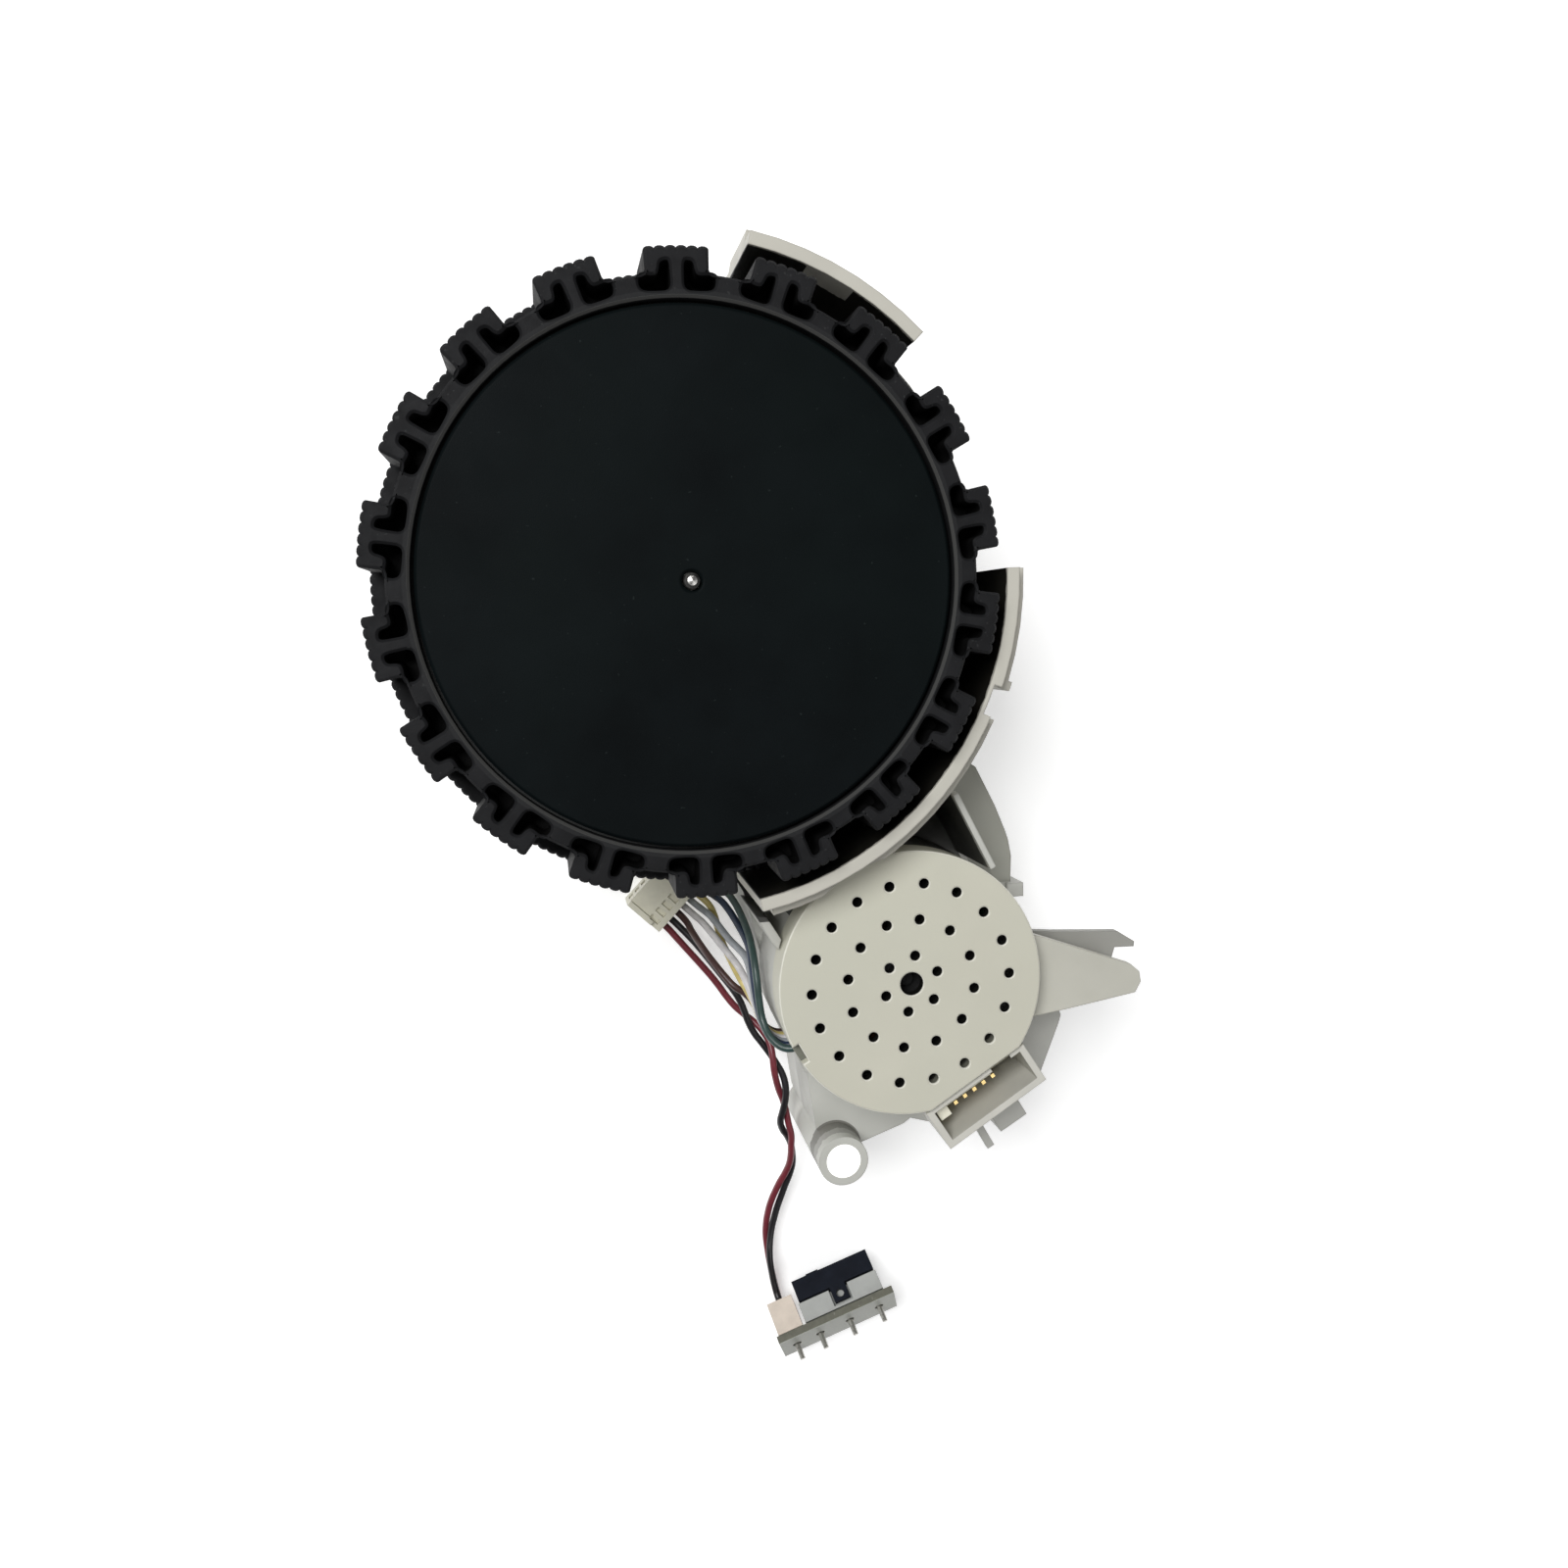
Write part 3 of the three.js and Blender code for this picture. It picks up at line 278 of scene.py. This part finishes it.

# Painted shade on the lever's lower level and web, then on the side of the boss.
overlay(lever_grey, (0.27, 0.268, 0.25), ("z", None, 18.0, 25.2), strength=0.85)
overlay(lever_grey, (0.13, 0.118, 0.095), ("z", None, 25.2, 29.45), ("d", (45.3, -50, 0), 0.0, 30.0),
        strength=0.9)
BOSS_SIDE = ("r", BOSS_AXIS, 3.1, 3.7)
overlay(shell_grey, (0.11, 0.105, 0.09), BOSS_SIDE, ("z", None, 18.0, 20.6), fade=0.8, strength=0.85)
overlay(shell_grey, (0.26, 0.255, 0.235), BOSS_SIDE, ("z", None, 20.6, 22.4), fade=0.8, strength=0.8)

rotor_dark = shader("rotor_shadow_steel", (0.022, 0.022, 0.022), 0.6, metallic=0.4, vary=0.2, patch=900,
                    bump=0.2, edge=0, specular=0.2)
socket_grey = shader("socket_plastic", (0.57, 0.56, 0.505), 0.42, vary=0.04, patch=200, edge=0.2)
ivory = shader("ivory_nylon", (0.74, 0.72, 0.59), 0.38, vary=0.06, patch=500, edge=0.12, specular=0.5)
pinkish = shader("connector_nylon", (0.64, 0.56, 0.48), 0.4, vary=0.06, patch=600, edge=0.12)
steel = shader("steel", (0.55, 0.54, 0.52), 0.3, metallic=1, vary=0.1, patch=900, grain=12000, bump=0.2,
               edge=0.08)
dull_steel = shader("zinc_steel", (0.46, 0.46, 0.45), 0.42, metallic=1, vary=0.14, patch=700, bump=0.2,
                    edge=0.08)
tinned = shader("tinned_pins", (0.62, 0.61, 0.57), 0.32, metallic=1, vary=0.1, patch=1500, bump=0.15, edge=0)
brass = shader("brass", (0.62, 0.45, 0.17), 0.32, metallic=1, vary=0.1, patch=900, edge=0.08)
gold = shader("gold_contacts", (0.72, 0.54, 0.24), 0.28, metallic=1, vary=0.08, patch=1500, edge=0)
acetal = shader("white_acetal", (0.80, 0.79, 0.74), 0.4, vary=0.04, patch=400, edge=0.12)
acetal_black = shader("black_acetal", (0.022, 0.023, 0.025), 0.42, vary=0.1, patch=400, edge=0.12)
copper = shader("enamelled_copper", (0.52, 0.24, 0.11), 0.35, metallic=1, vary=0.15, patch=2500, grain=9000,
                bump=0.5, edge=0.1)
board_green = shader("board_green", (0.03, 0.12, 0.055), 0.35, vary=0.12, patch=900, edge=0, coat=0.3)
board_grey = shader("board_grey", (0.105, 0.105, 0.078), 0.45, vary=0.14, patch=1400, grain=9000, bump=0.3,
                    edge=0.06, spots=(0.70, 2600, (0.2, 0.2, 0.17)))
switch_grey = shader("switch_base_plastic", (0.37, 0.38, 0.365), 0.45, vary=0.05, patch=500, edge=0.12)
# Painted reflection: the solder side of the switch's board is made light grey.
overlay(board_grey, (0.40, 0.41, 0.37), ("p", (SWITCH_ORIGIN, SWITCH_OUT), -0.3, 0.06), strength=0.9)
switch_black = shader("switch_cover_plastic", (0.0065, 0.0085, 0.0145), 0.45, vary=0.2, patch=500, edge=0.15,
                      specular=0.1)


def insulation(name, color, rough=0.36):
    return shader(name, color, rough, vary=0.12, patch=700, grain=5200, bump=0.16, edge=0, specular=0.5)


WIRE_FINISH = {
    "lead_brown": insulation("brown_pvc", (0.062, 0.030, 0.027)),
    "lead_white": insulation("white_pvc", (0.62, 0.60, 0.60)),
    "lead_grey": insulation("grey_pvc", (0.30, 0.32, 0.34)),
    "lead_blue": insulation("blue_pvc", (0.013, 0.026, 0.060)),
    "lead_green": insulation("green_pvc", (0.030, 0.060, 0.055)),
    "lead_yellow": insulation("yellow_pvc", (0.56, 0.46, 0.17)),
    "switch_wire_red": insulation("red_pvc", (0.155, 0.020, 0.030)),
    "switch_wire_black": insulation("black_pvc", (0.009, 0.008, 0.010)),
}


# ------------------------------------------------------------ mesh helpers
def new_piece(name, bm, material, body, replaces=(), smooth=35):
    bmesh.ops.recalc_face_normals(bm, faces=bm.faces)
    mesh = bpy.data.meshes.new(name)
    bm.to_mesh(mesh)
    bm.free()
    mesh.shade_smooth()
    mesh.set_sharp_from_angle(angle=math.radians(smooth))
    mesh.materials.append(material)
    piece = bpy.data.objects.new(name, mesh)
    bpy.context.scene.collection.objects.link(piece)
    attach(piece, body)
    if replaces:
        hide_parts(*replaces)


def inset(points, amount):
    """Moves a closed outline inwards, towards the left of its direction of travel."""
    if not amount:
        return list(points)
    moved = []
    count = len(points)
    for i in range(count):
        p = Vector(points[i])
        a = (p - Vector(points[i - 1])).normalized()
        b = (Vector(points[(i + 1) % count]) - p).normalized()
        na = Vector((-a.y, a.x))
        nb = Vector((-b.y, b.x))
        half = (na + nb)
        if half.length < 1e-6:
            half = na
        half.normalize()
        reach = amount / max(0.45, half.dot(na))
        moved.append((p.x + half.x * reach, p.y + half.y * reach))
    return moved


def turns_left(points):
    area = 0
    for i in range(len(points)):
        x0, y0 = points[i - 1]
        x1, y1 = points[i]
        area += x0 * y1 - x1 * y0
    return area > 0


def slab(bm, outline, z0, z1, holes=(), top=0.0, bottom=0.0):
    """Flat piece with an outline and holes, chamfered at its top and bottom edges. Millimetres."""
    loops = [list(outline) if turns_left(outline) else list(reversed(outline))]
    for hole in holes:
        loops.append(list(reversed(hole)) if turns_left(hole) else list(hole))
    levels = []
    if bottom:
        levels.append((z0, bottom))
    levels.append((z0 + bottom, 0))
    levels.append((z1 - top, 0))
    if top:
        levels.append((z1, top))
    rings = []
    for loop in loops:
        stack = []
        for z, amount in levels:
            stack.append([bm.verts.new(Vector((x, y, z)) * MM) for x, y in inset(loop, amount)])
        rings.append(stack)
        for lower, upper in zip(stack, stack[1:]):
            for i in range(len(loop)):
                j = (i + 1) % len(loop)
                bm.faces.new((lower[i], lower[j], upper[j], upper[i]))
    for end in (0, -1):
        ends = [stack[end] for stack in rings]
        flat = [v for ring in ends for v in ring]
        amount = levels[end][1]
        points = [Vector(p) for loop in loops for p in inset(loop, amount)]
        rims, at = [], 0
        for loop in loops:
            rims.append(list(range(at, at + len(loop))))
            at += len(loop)
        found = delaunay_2d_cdt(points, [], rims, 1, 1e-7)
        source = found[3]
        for face in found[2]:
            middle = sum((found[0][i] for i in face), Vector((0, 0))) / len(face)
            if any(within(middle, [points[i] for i in rim]) for rim in rims[1:]):
                continue
            corners = [source[i][0] for i in face if source[i]]
            if len(corners) == 3:
                try:
                    bm.faces.new([flat[i] for i in corners])
                except ValueError:
                    pass


def within(point, loop):
    """True when a point lies inside a closed outline."""
    inside = False
    x, y = point
    for i in range(len(loop)):
        x0, y0 = loop[i - 1]
        x1, y1 = loop[i]
        if (y0 > y) != (y1 > y) and x < x0 + (x1 - x0) * (y - y0) / (y1 - y0):
            inside = not inside
    return inside


def circle(x, y, r, count, phase=0.0):
    angles = [phase + 2 * math.pi * i / count for i in range(count)]
    return [(x + r * math.cos(a), y + r * math.sin(a)) for a in angles]


def polar(r, degrees, x=0.0, y=0.0):
    return (x + r * math.cos(math.radians(degrees)), y + r * math.sin(math.radians(degrees)))


def round_off(points, rounds=2, cut=0.28):
    for _ in range(rounds):
        out = []
        for i in range(len(points)):
            a = Vector(points[i])
            b = Vector(points[(i + 1) % len(points)])
            out.append(tuple(a.lerp(b, cut)))
            out.append(tuple(a.lerp(b, 1 - cut)))
        points = out
    return points


# ------------------------------------------------------------ cords
# Each wire is the smooth curve through its given knots, in millimetres, as it is on the CAD part.
CURVE_STEPS = 200
LEAD_SPANS = 15
PAIR_SPANS = 38
TANGENT_STEP = 0.0001


def beyond(end, inner):
    """Mirror image of a knot in the end of its curve."""
    return tuple(2 * e - i for e, i in zip(end, inner))


def curve_point(knots, t):
    """Place on the centripetal Catmull-Rom curve through the knots, with t counted in spans."""
    span = min(int(t), len(knots) - 2)
    p1, p2 = knots[span], knots[span + 1]
    p0 = knots[span - 1] if span else beyond(p1, p2)
    p3 = knots[span + 2] if span + 2 < len(knots) else beyond(p2, p1)
    d0, d1, d2 = (math.sqrt(math.dist(a, b)) for a, b in ((p0, p1), (p1, p2), (p2, p3)))
    w = t - span
    place = []
    for x0, x1, x2, x3 in zip(p0, p1, p2, p3):
        leave = ((x1 - x0) / d0 - (x2 - x0) / (d0 + d1) + (x2 - x1) / d1) * d1
        arrive = ((x2 - x1) / d1 - (x3 - x1) / (d1 + d2) + (x3 - x2) / d2) * d1
        square = 3 * (x2 - x1) - 2 * leave - arrive
        cube = 2 * (x1 - x2) + leave + arrive
        place.append(x1 + leave * w + square * w ** 2 + cube * w ** 3)
    return tuple(place)


def even_steps(knots, count):
    """Values of t for count + 1 places that are evenly spaced along the curve."""
    scale = (len(knots) - 1) / CURVE_STEPS
    samples = [curve_point(knots, i * scale) for i in range(CURVE_STEPS + 1)]
    lengths = [0.0]
    for a, b in zip(samples, samples[1:]):
        lengths.append(lengths[-1] + math.dist(a, b))
    found = []
    step = 0
    for i in range(count + 1):
        target = lengths[-1] * i / count
        while step < CURVE_STEPS - 1 and lengths[step + 1] < target:
            step += 1
        share = (target - lengths[step]) / (lengths[step + 1] - lengths[step])
        found.append((step + share) * scale)
    return found


def even_points(knots, count):
    return [tuple(round(v, 2) for v in curve_point(knots, t)) for t in even_steps(knots, count)]


# Leads from the plug to the slot in the motor cup, lowest in the stack first: each one's height where it
# bends round the cup, and its knots from the plug on.
SLOT_DIR = 212
SLOT_Z = 20.72
SLOT_PITCH = 1.47
LEADS = {
    "lead_brown": (16.5, [(-0.36, -45.66, 4), (1.5, -48.1, 8.6), (3.4, -50.9, 13.7), (6.1, -54.2, 16.4)]),
    "lead_yellow": (18.1, [(2.4, -42.9, 4), (4.6, -45.3, 5.2), (5.3, -49, 10), (6.6, -52.5, 16.2)]),
    "lead_white": (19.7, [(0.56, -44.74, 4), (2.9, -46.7, 7.5), (4.7, -48.8, 12.4), (6.9, -51.8, 17.2)]),
    "lead_grey": (21.4, [(1.48, -43.82, 4), (4, -45.7, 8.4), (5.8, -47.9, 14), (7.6, -50, 18.9),
                         (7.9, -53.2, 20.9)]),
    "lead_blue": (23.0, [(3.32, -41.98, 4), (5.8, -43.8, 9), (7.1, -45.9, 15), (7.8, -48.2, 20),
                         (7.9, -52.3, 22.4)]),
    "lead_green": (24.6, [(4.24, -41.06, 4), (6.8, -42.8, 10), (7.75, -45.4, 17.2), (7.9, -48, 22.3),
                          (8, -51.4, 24.2)]),
}


def lead_route(level, bend_z, knots):
    """Route of one lead: out of the plug, over to the cup, round its wall and into the slot."""
    end_z = SLOT_Z + level * SLOT_PITCH
    rise = end_z - bend_z
    (x, y, z), rest = knots[0], knots[1:]
    start = [(x - 0.85, y + 0.85, z), (x + 0.2, y - 0.2, z), (x + 1.1, y - 1.1, z + 0.6)]
    turn_in = [(18.7, 196, bend_z + rise * 0.05), (18.8, 202.5, bend_z + rise * 0.42),
               (18.25, 208.4, bend_z + rise * 0.82), (16.7, 211.7, end_z - rise * 0.02),
               (14.95, SLOT_DIR, end_z)]
    return even_points(start + rest + [(*polar(r, a, MX, MY), h) for r, a, h in turn_in], LEAD_SPANS)


# The pair to the switch is twisted about a common centre line, tighter near the plug than near the switch.
PAIR_CENTRE = [
    (9.4, -62.3, 6.8), (11.5, -65.6, 8), (12.3, -68.2, 8.6), (13.1, -71, 8.6), (13.5, -74.4, 8.2),
    (13.5, -77.4, 7.6), (14.2, -79.8, 6.8), (14.7, -82.4, 5.8), (14.6, -85.6, 4.6), (13.3, -89, 3.6),
    (12, -92.7, 2.8), (11.2, -96.7, 2.3), (11.1, -100.2, 2.8),
]
RED_START = [(-3.05, -46.65, 4), (-2, -47.7, 4), (0.8, -51.2, 4.2), (4.4, -55.8, 4.8), (7.2, -59.9, 5.6)]
BLACK_START = [(-2.13, -45.73, 4), (-1.08, -46.78, 4), (1.8, -50, 4.8), (4.9, -54.2, 6.2), (7.6, -58.2, 7.6)]
TWIST_OFFSET = 0.58
TWIST_TURNS = 1.91
LOOSE_TURNS = 0.5
TWIST_STEPS = 36


def twisted_route(start, end_phase, across_board):
    """Route of one wire of the pair, which ends in the switch's connector."""
    spans = len(PAIR_CENTRE) - 1
    nudge = TANGENT_STEP * spans
    knots = list(start)
    for i, t in enumerate(even_steps(PAIR_CENTRE, TWIST_STEPS)):
        before = Vector(curve_point(PAIR_CENTRE, max(0, t - nudge)))
        after = Vector(curve_point(PAIR_CENTRE, min(spans, t + nudge)))
        tangent = (after - before).normalized()
        side = Vector((-tangent.y, tangent.x, 0)).normalized()
        over = tangent.cross(side).normalized()
        u = i / TWIST_STEPS
        left = LOOSE_TURNS * 2 * (1 - u)
        if u <= 0.5:
            left = LOOSE_TURNS + (TWIST_TURNS - LOOSE_TURNS) * 2 * (0.5 - u)
        angle = end_phase - 2 * math.pi * left
        shift = (side * math.cos(angle) + over * math.sin(angle)) * TWIST_OFFSET
        knots.append(tuple(c + s for c, s in zip(curve_point(PAIR_CENTRE, t), shift)))
    knots += [switch_point(2.25, 7.9, across_board), switch_point(2.25, 5.4, across_board)]
    return even_points(knots, PAIR_SPANS)


ROUTES = {name: lead_route(level, z, knots) for level, (name, (z, knots)) in enumerate(LEADS.items())}
ROUTES["switch_wire_red"] = twisted_route(RED_START, -math.pi / 2, 2.7)
ROUTES["switch_wire_black"] = twisted_route(BLACK_START, math.pi / 2, 4.8)
WIRE_D = 1.0
for wire_name, route in ROUTES.items():
    if wire_name.startswith("lead_"):
        route = list(reversed(route))
    curve = bpy.data.curves.new(wire_name + "_cord", "CURVE")
    curve.dimensions = "3D"
    curve.resolution_u = 8
    curve.bevel_depth = WIRE_D / 2 * MM
    curve.bevel_resolution = 4
    curve.use_fill_caps = True
    spline = curve.splines.new("BEZIER")
    spline.bezier_points.add(len(route) - 1)
    for point, at in zip(spline.bezier_points, route):
        point.co = Vector(at) * MM
        point.handle_left_type = "AUTO"
        point.handle_right_type = "AUTO"
    curve.materials.append(WIRE_FINISH[wire_name])
    wire = bpy.data.objects.new(wire_name + "_cord", curve)
    bpy.context.scene.collection.objects.link(wire)
    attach(wire, "base")
    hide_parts(wire_name)

# ------------------------------------------------------------ tyre
TYRE_R = 36.0
TREAD_R = 33.1
BEAD_R = 30.5
INNER_R = 31.0
BLOCKS = 18
BLOCK_PITCH = 360 / BLOCKS
FIRST_BLOCK = 90
RIBS = 6
ROUND_SIDES = 120


def tread(offset):
    """Outline of one row of ribbed blocks, the first of them centred at the offset in degrees."""
    points = []
    for block in range(BLOCKS):
        c = offset + block * BLOCK_PITCH
        points += [polar(TREAD_R, c - 6.9), polar(TREAD_R + 0.12, c - 6.35), polar(TREAD_R + 0.5, c - 6.0)]
        first, last = c - 5.75, c + 5.75
        step = (last - first) / RIBS
        points.append(polar(TYRE_R - 0.28, first))
        for i in range(RIBS):
            a = first + i * step
            points.append(polar(TYRE_R - 0.1, a + step * 0.12))
            points.append(polar(TYRE_R, a + step * 0.35))
            points.append(polar(TYRE_R, a + step * 0.65))
            points.append(polar(TYRE_R - 0.1, a + step * 0.88))
            if i < RIBS - 1:
                points.append(polar(TYRE_R - 0.24, a + step))
        points.append(polar(TYRE_R - 0.28, last))
        points += [polar(TREAD_R + 0.5, c + 6.0), polar(TREAD_R + 0.12, c + 6.35), polar(TREAD_R, c + 6.9)]
        points += [polar(TREAD_R, c + 8.4), polar(TREAD_R, c + 10), polar(TREAD_R, c + 11.6)]
    return points


def pocket(centre, side):
    """L-shaped pocket in the tyre's side, in polar corners that are mirrored about the block's centre."""
    corners = [(31.3, 1.35), (33.0, 1.3), (34.35, 1.35), (34.5, 2.0), (34.3, 3.1), (33.4, 3.35),
               (32.85, 4.0), (33.05, 6.2), (32.85, 7.4), (32.1, 7.6), (31.45, 7.0), (31.25, 4.4)]
    return round_off([polar(r, centre + side * a) for r, a in corners], 2, 0.25)


pockets = []
for block in range(BLOCKS):
    for side in (1, -1):
        pockets.append(pocket(FIRST_BLOCK + block * BLOCK_PITCH, side))
bm = bmesh.new()
front_row = tread(FIRST_BLOCK)
inner = circle(*WHEEL_AXIS, INNER_R, ROUND_SIDES)
slab(bm, front_row, 37.5, 43.0, holes=[circle(*WHEEL_AXIS, BEAD_R, ROUND_SIDES)] + pockets, top=0.3)
slab(bm, front_row, 32.8, 37.5, holes=[inner], bottom=0.3)
slab(bm, circle(*WHEEL_AXIS, TREAD_R, ROUND_SIDES), 31.4, 33.0, holes=[inner])
slab(bm, tread(FIRST_BLOCK + BLOCK_PITCH / 2), 21.6, 31.6, holes=[inner], top=0.3, bottom=0.3)
new_piece("tyre_moulded", bm, rubber, "wheel", ["tyre"])

# ------------------------------------------------------------ hub cap
CAP_R = 30.1
CAP_HOLE_R = 1.02
bm = bmesh.new()
slab(bm, circle(*WHEEL_AXIS, CAP_R, 160), 41.0, 42.5, holes=[circle(*WHEEL_AXIS, CAP_HOLE_R, 32)],
     top=0.35, bottom=0.1)
new_piece("hub_cap_disc", bm, cap_black, "wheel", ["hub_cap"])

# ------------------------------------------------------------ motor cover
COVER_R = 17.0
COVER_FLAT = 15.5
NOTCH_R = 16.15
NOTCH_HALF_WIDTH = 1.3
NOTCH_CLEAR = 4.6


def cover_outline(r, flat, notch=NOTCH_R):
    """Outline of the cover: a circle with one flat, and a notch at the rim unless it is set to 0."""
    points = []
    half = math.degrees(math.acos(flat / r))
    steps = int((360 - 2 * half) / 3.0)
    for i in range(steps + 1):
        a = FLAT_DIR + half + (360 - 2 * half) * i / steps
        delta = (a - NOTCH_DIR + 180) % 360 - 180
        if notch and abs(delta) < NOTCH_CLEAR:
            continue
        points.append(polar(r, a, MX, MY))
        following = (a + (360 - 2 * half) / steps - NOTCH_DIR + 180) % 360 - 180
        if notch and delta <= -NOTCH_CLEAR < following < 90:
            side = math.degrees(math.asin(NOTCH_HALF_WIDTH / r))
            deep = math.degrees(math.asin(NOTCH_HALF_WIDTH / notch))
            points.append(polar(r, NOTCH_DIR - side, MX, MY))
            points.append(polar(notch, NOTCH_DIR - deep, MX, MY))
            points.append(polar(notch, NOTCH_DIR + deep, MX, MY))
            points.append(polar(r, NOTCH_DIR + side, MX, MY))
    return points


# Centre hole, then the number, radius and first angle of each ring of small holes.
holes = [circle(MX, MY, 1.5, 40)]
for count, r, phase in ((6, 3.62, 21.3), (12, 8.27, -8.8), (18, 12.87, 1.2)):
    for i in range(count):
        x, y = polar(r, phase + i * 360 / count, MX, MY)
        holes.append(circle(x, y, 0.66, 22))
bm = bmesh.new()
slab(bm, cover_outline(COVER_R, COVER_FLAT), 32.3, 34.0, holes=holes, top=0.16)
slab(bm, cover_outline(COVER_R, COVER_FLAT, 0), 29.0, 32.3, holes=[cover_outline(15.6, 13.7, 0)])
new_piece("motor_cover_cap", bm, cover_grey, "base", ["motor_cover"])

# ------------------------------------------------------------ finishes of the CAD nodes
FINISH = {
    "wheel_hub": hub_black, "wheel_axle": steel, "gear_output": acetal, "gear_second": acetal,
    "gear_first": acetal_black, "gear_pin_first": steel, "gear_pin_second": steel,
    "gearbox_front_shell": shell_grey, "gearbox_rear_cover": shell_grey, "axle_bush_front": brass,
    "axle_bush_rear": brass, "wheel_arch": arch_grey, "motor_shaft": rotor_dark, "motor_pinion": brass,
    "motor_base": dull_steel, "motor_stator": copper, "motor_rotor": rotor_dark, "motor_board": board_green,
    "lead_block": ivory, "socket_frame": socket_grey, "socket_header": ivory, "spring_lever": lever_grey,
    "harness_plug": ivory, "switch_board": board_grey, "switch_base": switch_grey,
    "switch_cover": switch_black, "switch_plunger": switch_black, "switch_connector": pinkish,
}
for node_name, node in nodes.items():
    finish = FINISH.get(node_name)
    if node_name.startswith(("cover_screw", "arch_screw")):
        finish = dull_steel
    if node_name.startswith("socket_pin"):
        finish = gold
    if node_name.startswith("switch_pin"):
        finish = tinned
    if finish is None:
        continue
    if not node.material_slots:
        node.data.materials.append(finish)
    for slot_number in range(len(node.material_slots)):
        node.material_slots[slot_number].link = "OBJECT"
        node.material_slots[slot_number].material = finish

# ------------------------------------------------------------ floor and light
floor_mat = bpy.data.materials.new("studio_floor")
floor_mat.use_nodes = True
floor_bsdf = floor_mat.node_tree.nodes["Principled BSDF"]
floor_bsdf.inputs["Base Color"].default_value = (0.86, 0.86, 0.86, 1)
floor_bsdf.inputs["Roughness"].default_value = 0.9
floor_bsdf.inputs["Emission Color"].default_value = (1, 1, 1, 1)
floor_bsdf.inputs["Emission Strength"].default_value = 0.42
bpy.ops.mesh.primitive_plane_add(size=6, location=(0, 0, -0.0002))
floor = bpy.context.object
floor.name = "studio_floor"
floor.data.materials.append(floor_mat)

world = bpy.data.worlds.new("studio")
world.use_nodes = True
world.node_tree.nodes["Background"].inputs["Color"].default_value = (1.0, 1.0, 1.0, 1)
world.node_tree.nodes["Background"].inputs["Strength"].default_value = 0.13
bpy.context.scene.world = world


def area_light(name, at, aim, size, power):
    data = bpy.data.lights.new(name, "AREA")
    data.shape = "DISK"
    data.size = size
    data.energy = power
    light = bpy.data.objects.new(name, data)
    light.location = at
    light.rotation_mode = "QUATERNION"
    light.rotation_quaternion = (Vector(aim) - Vector(at)).to_track_quat("-Z", "Y")
    bpy.context.scene.collection.objects.link(light)


MIDDLE = (0.01, -0.03, 0.02)
area_light("key", (-0.30, 0.26, 0.66), MIDDLE, 0.4, 5.2)
area_light("fill", (0.32, -0.30, 0.62), MIDDLE, 0.5, 1.1)
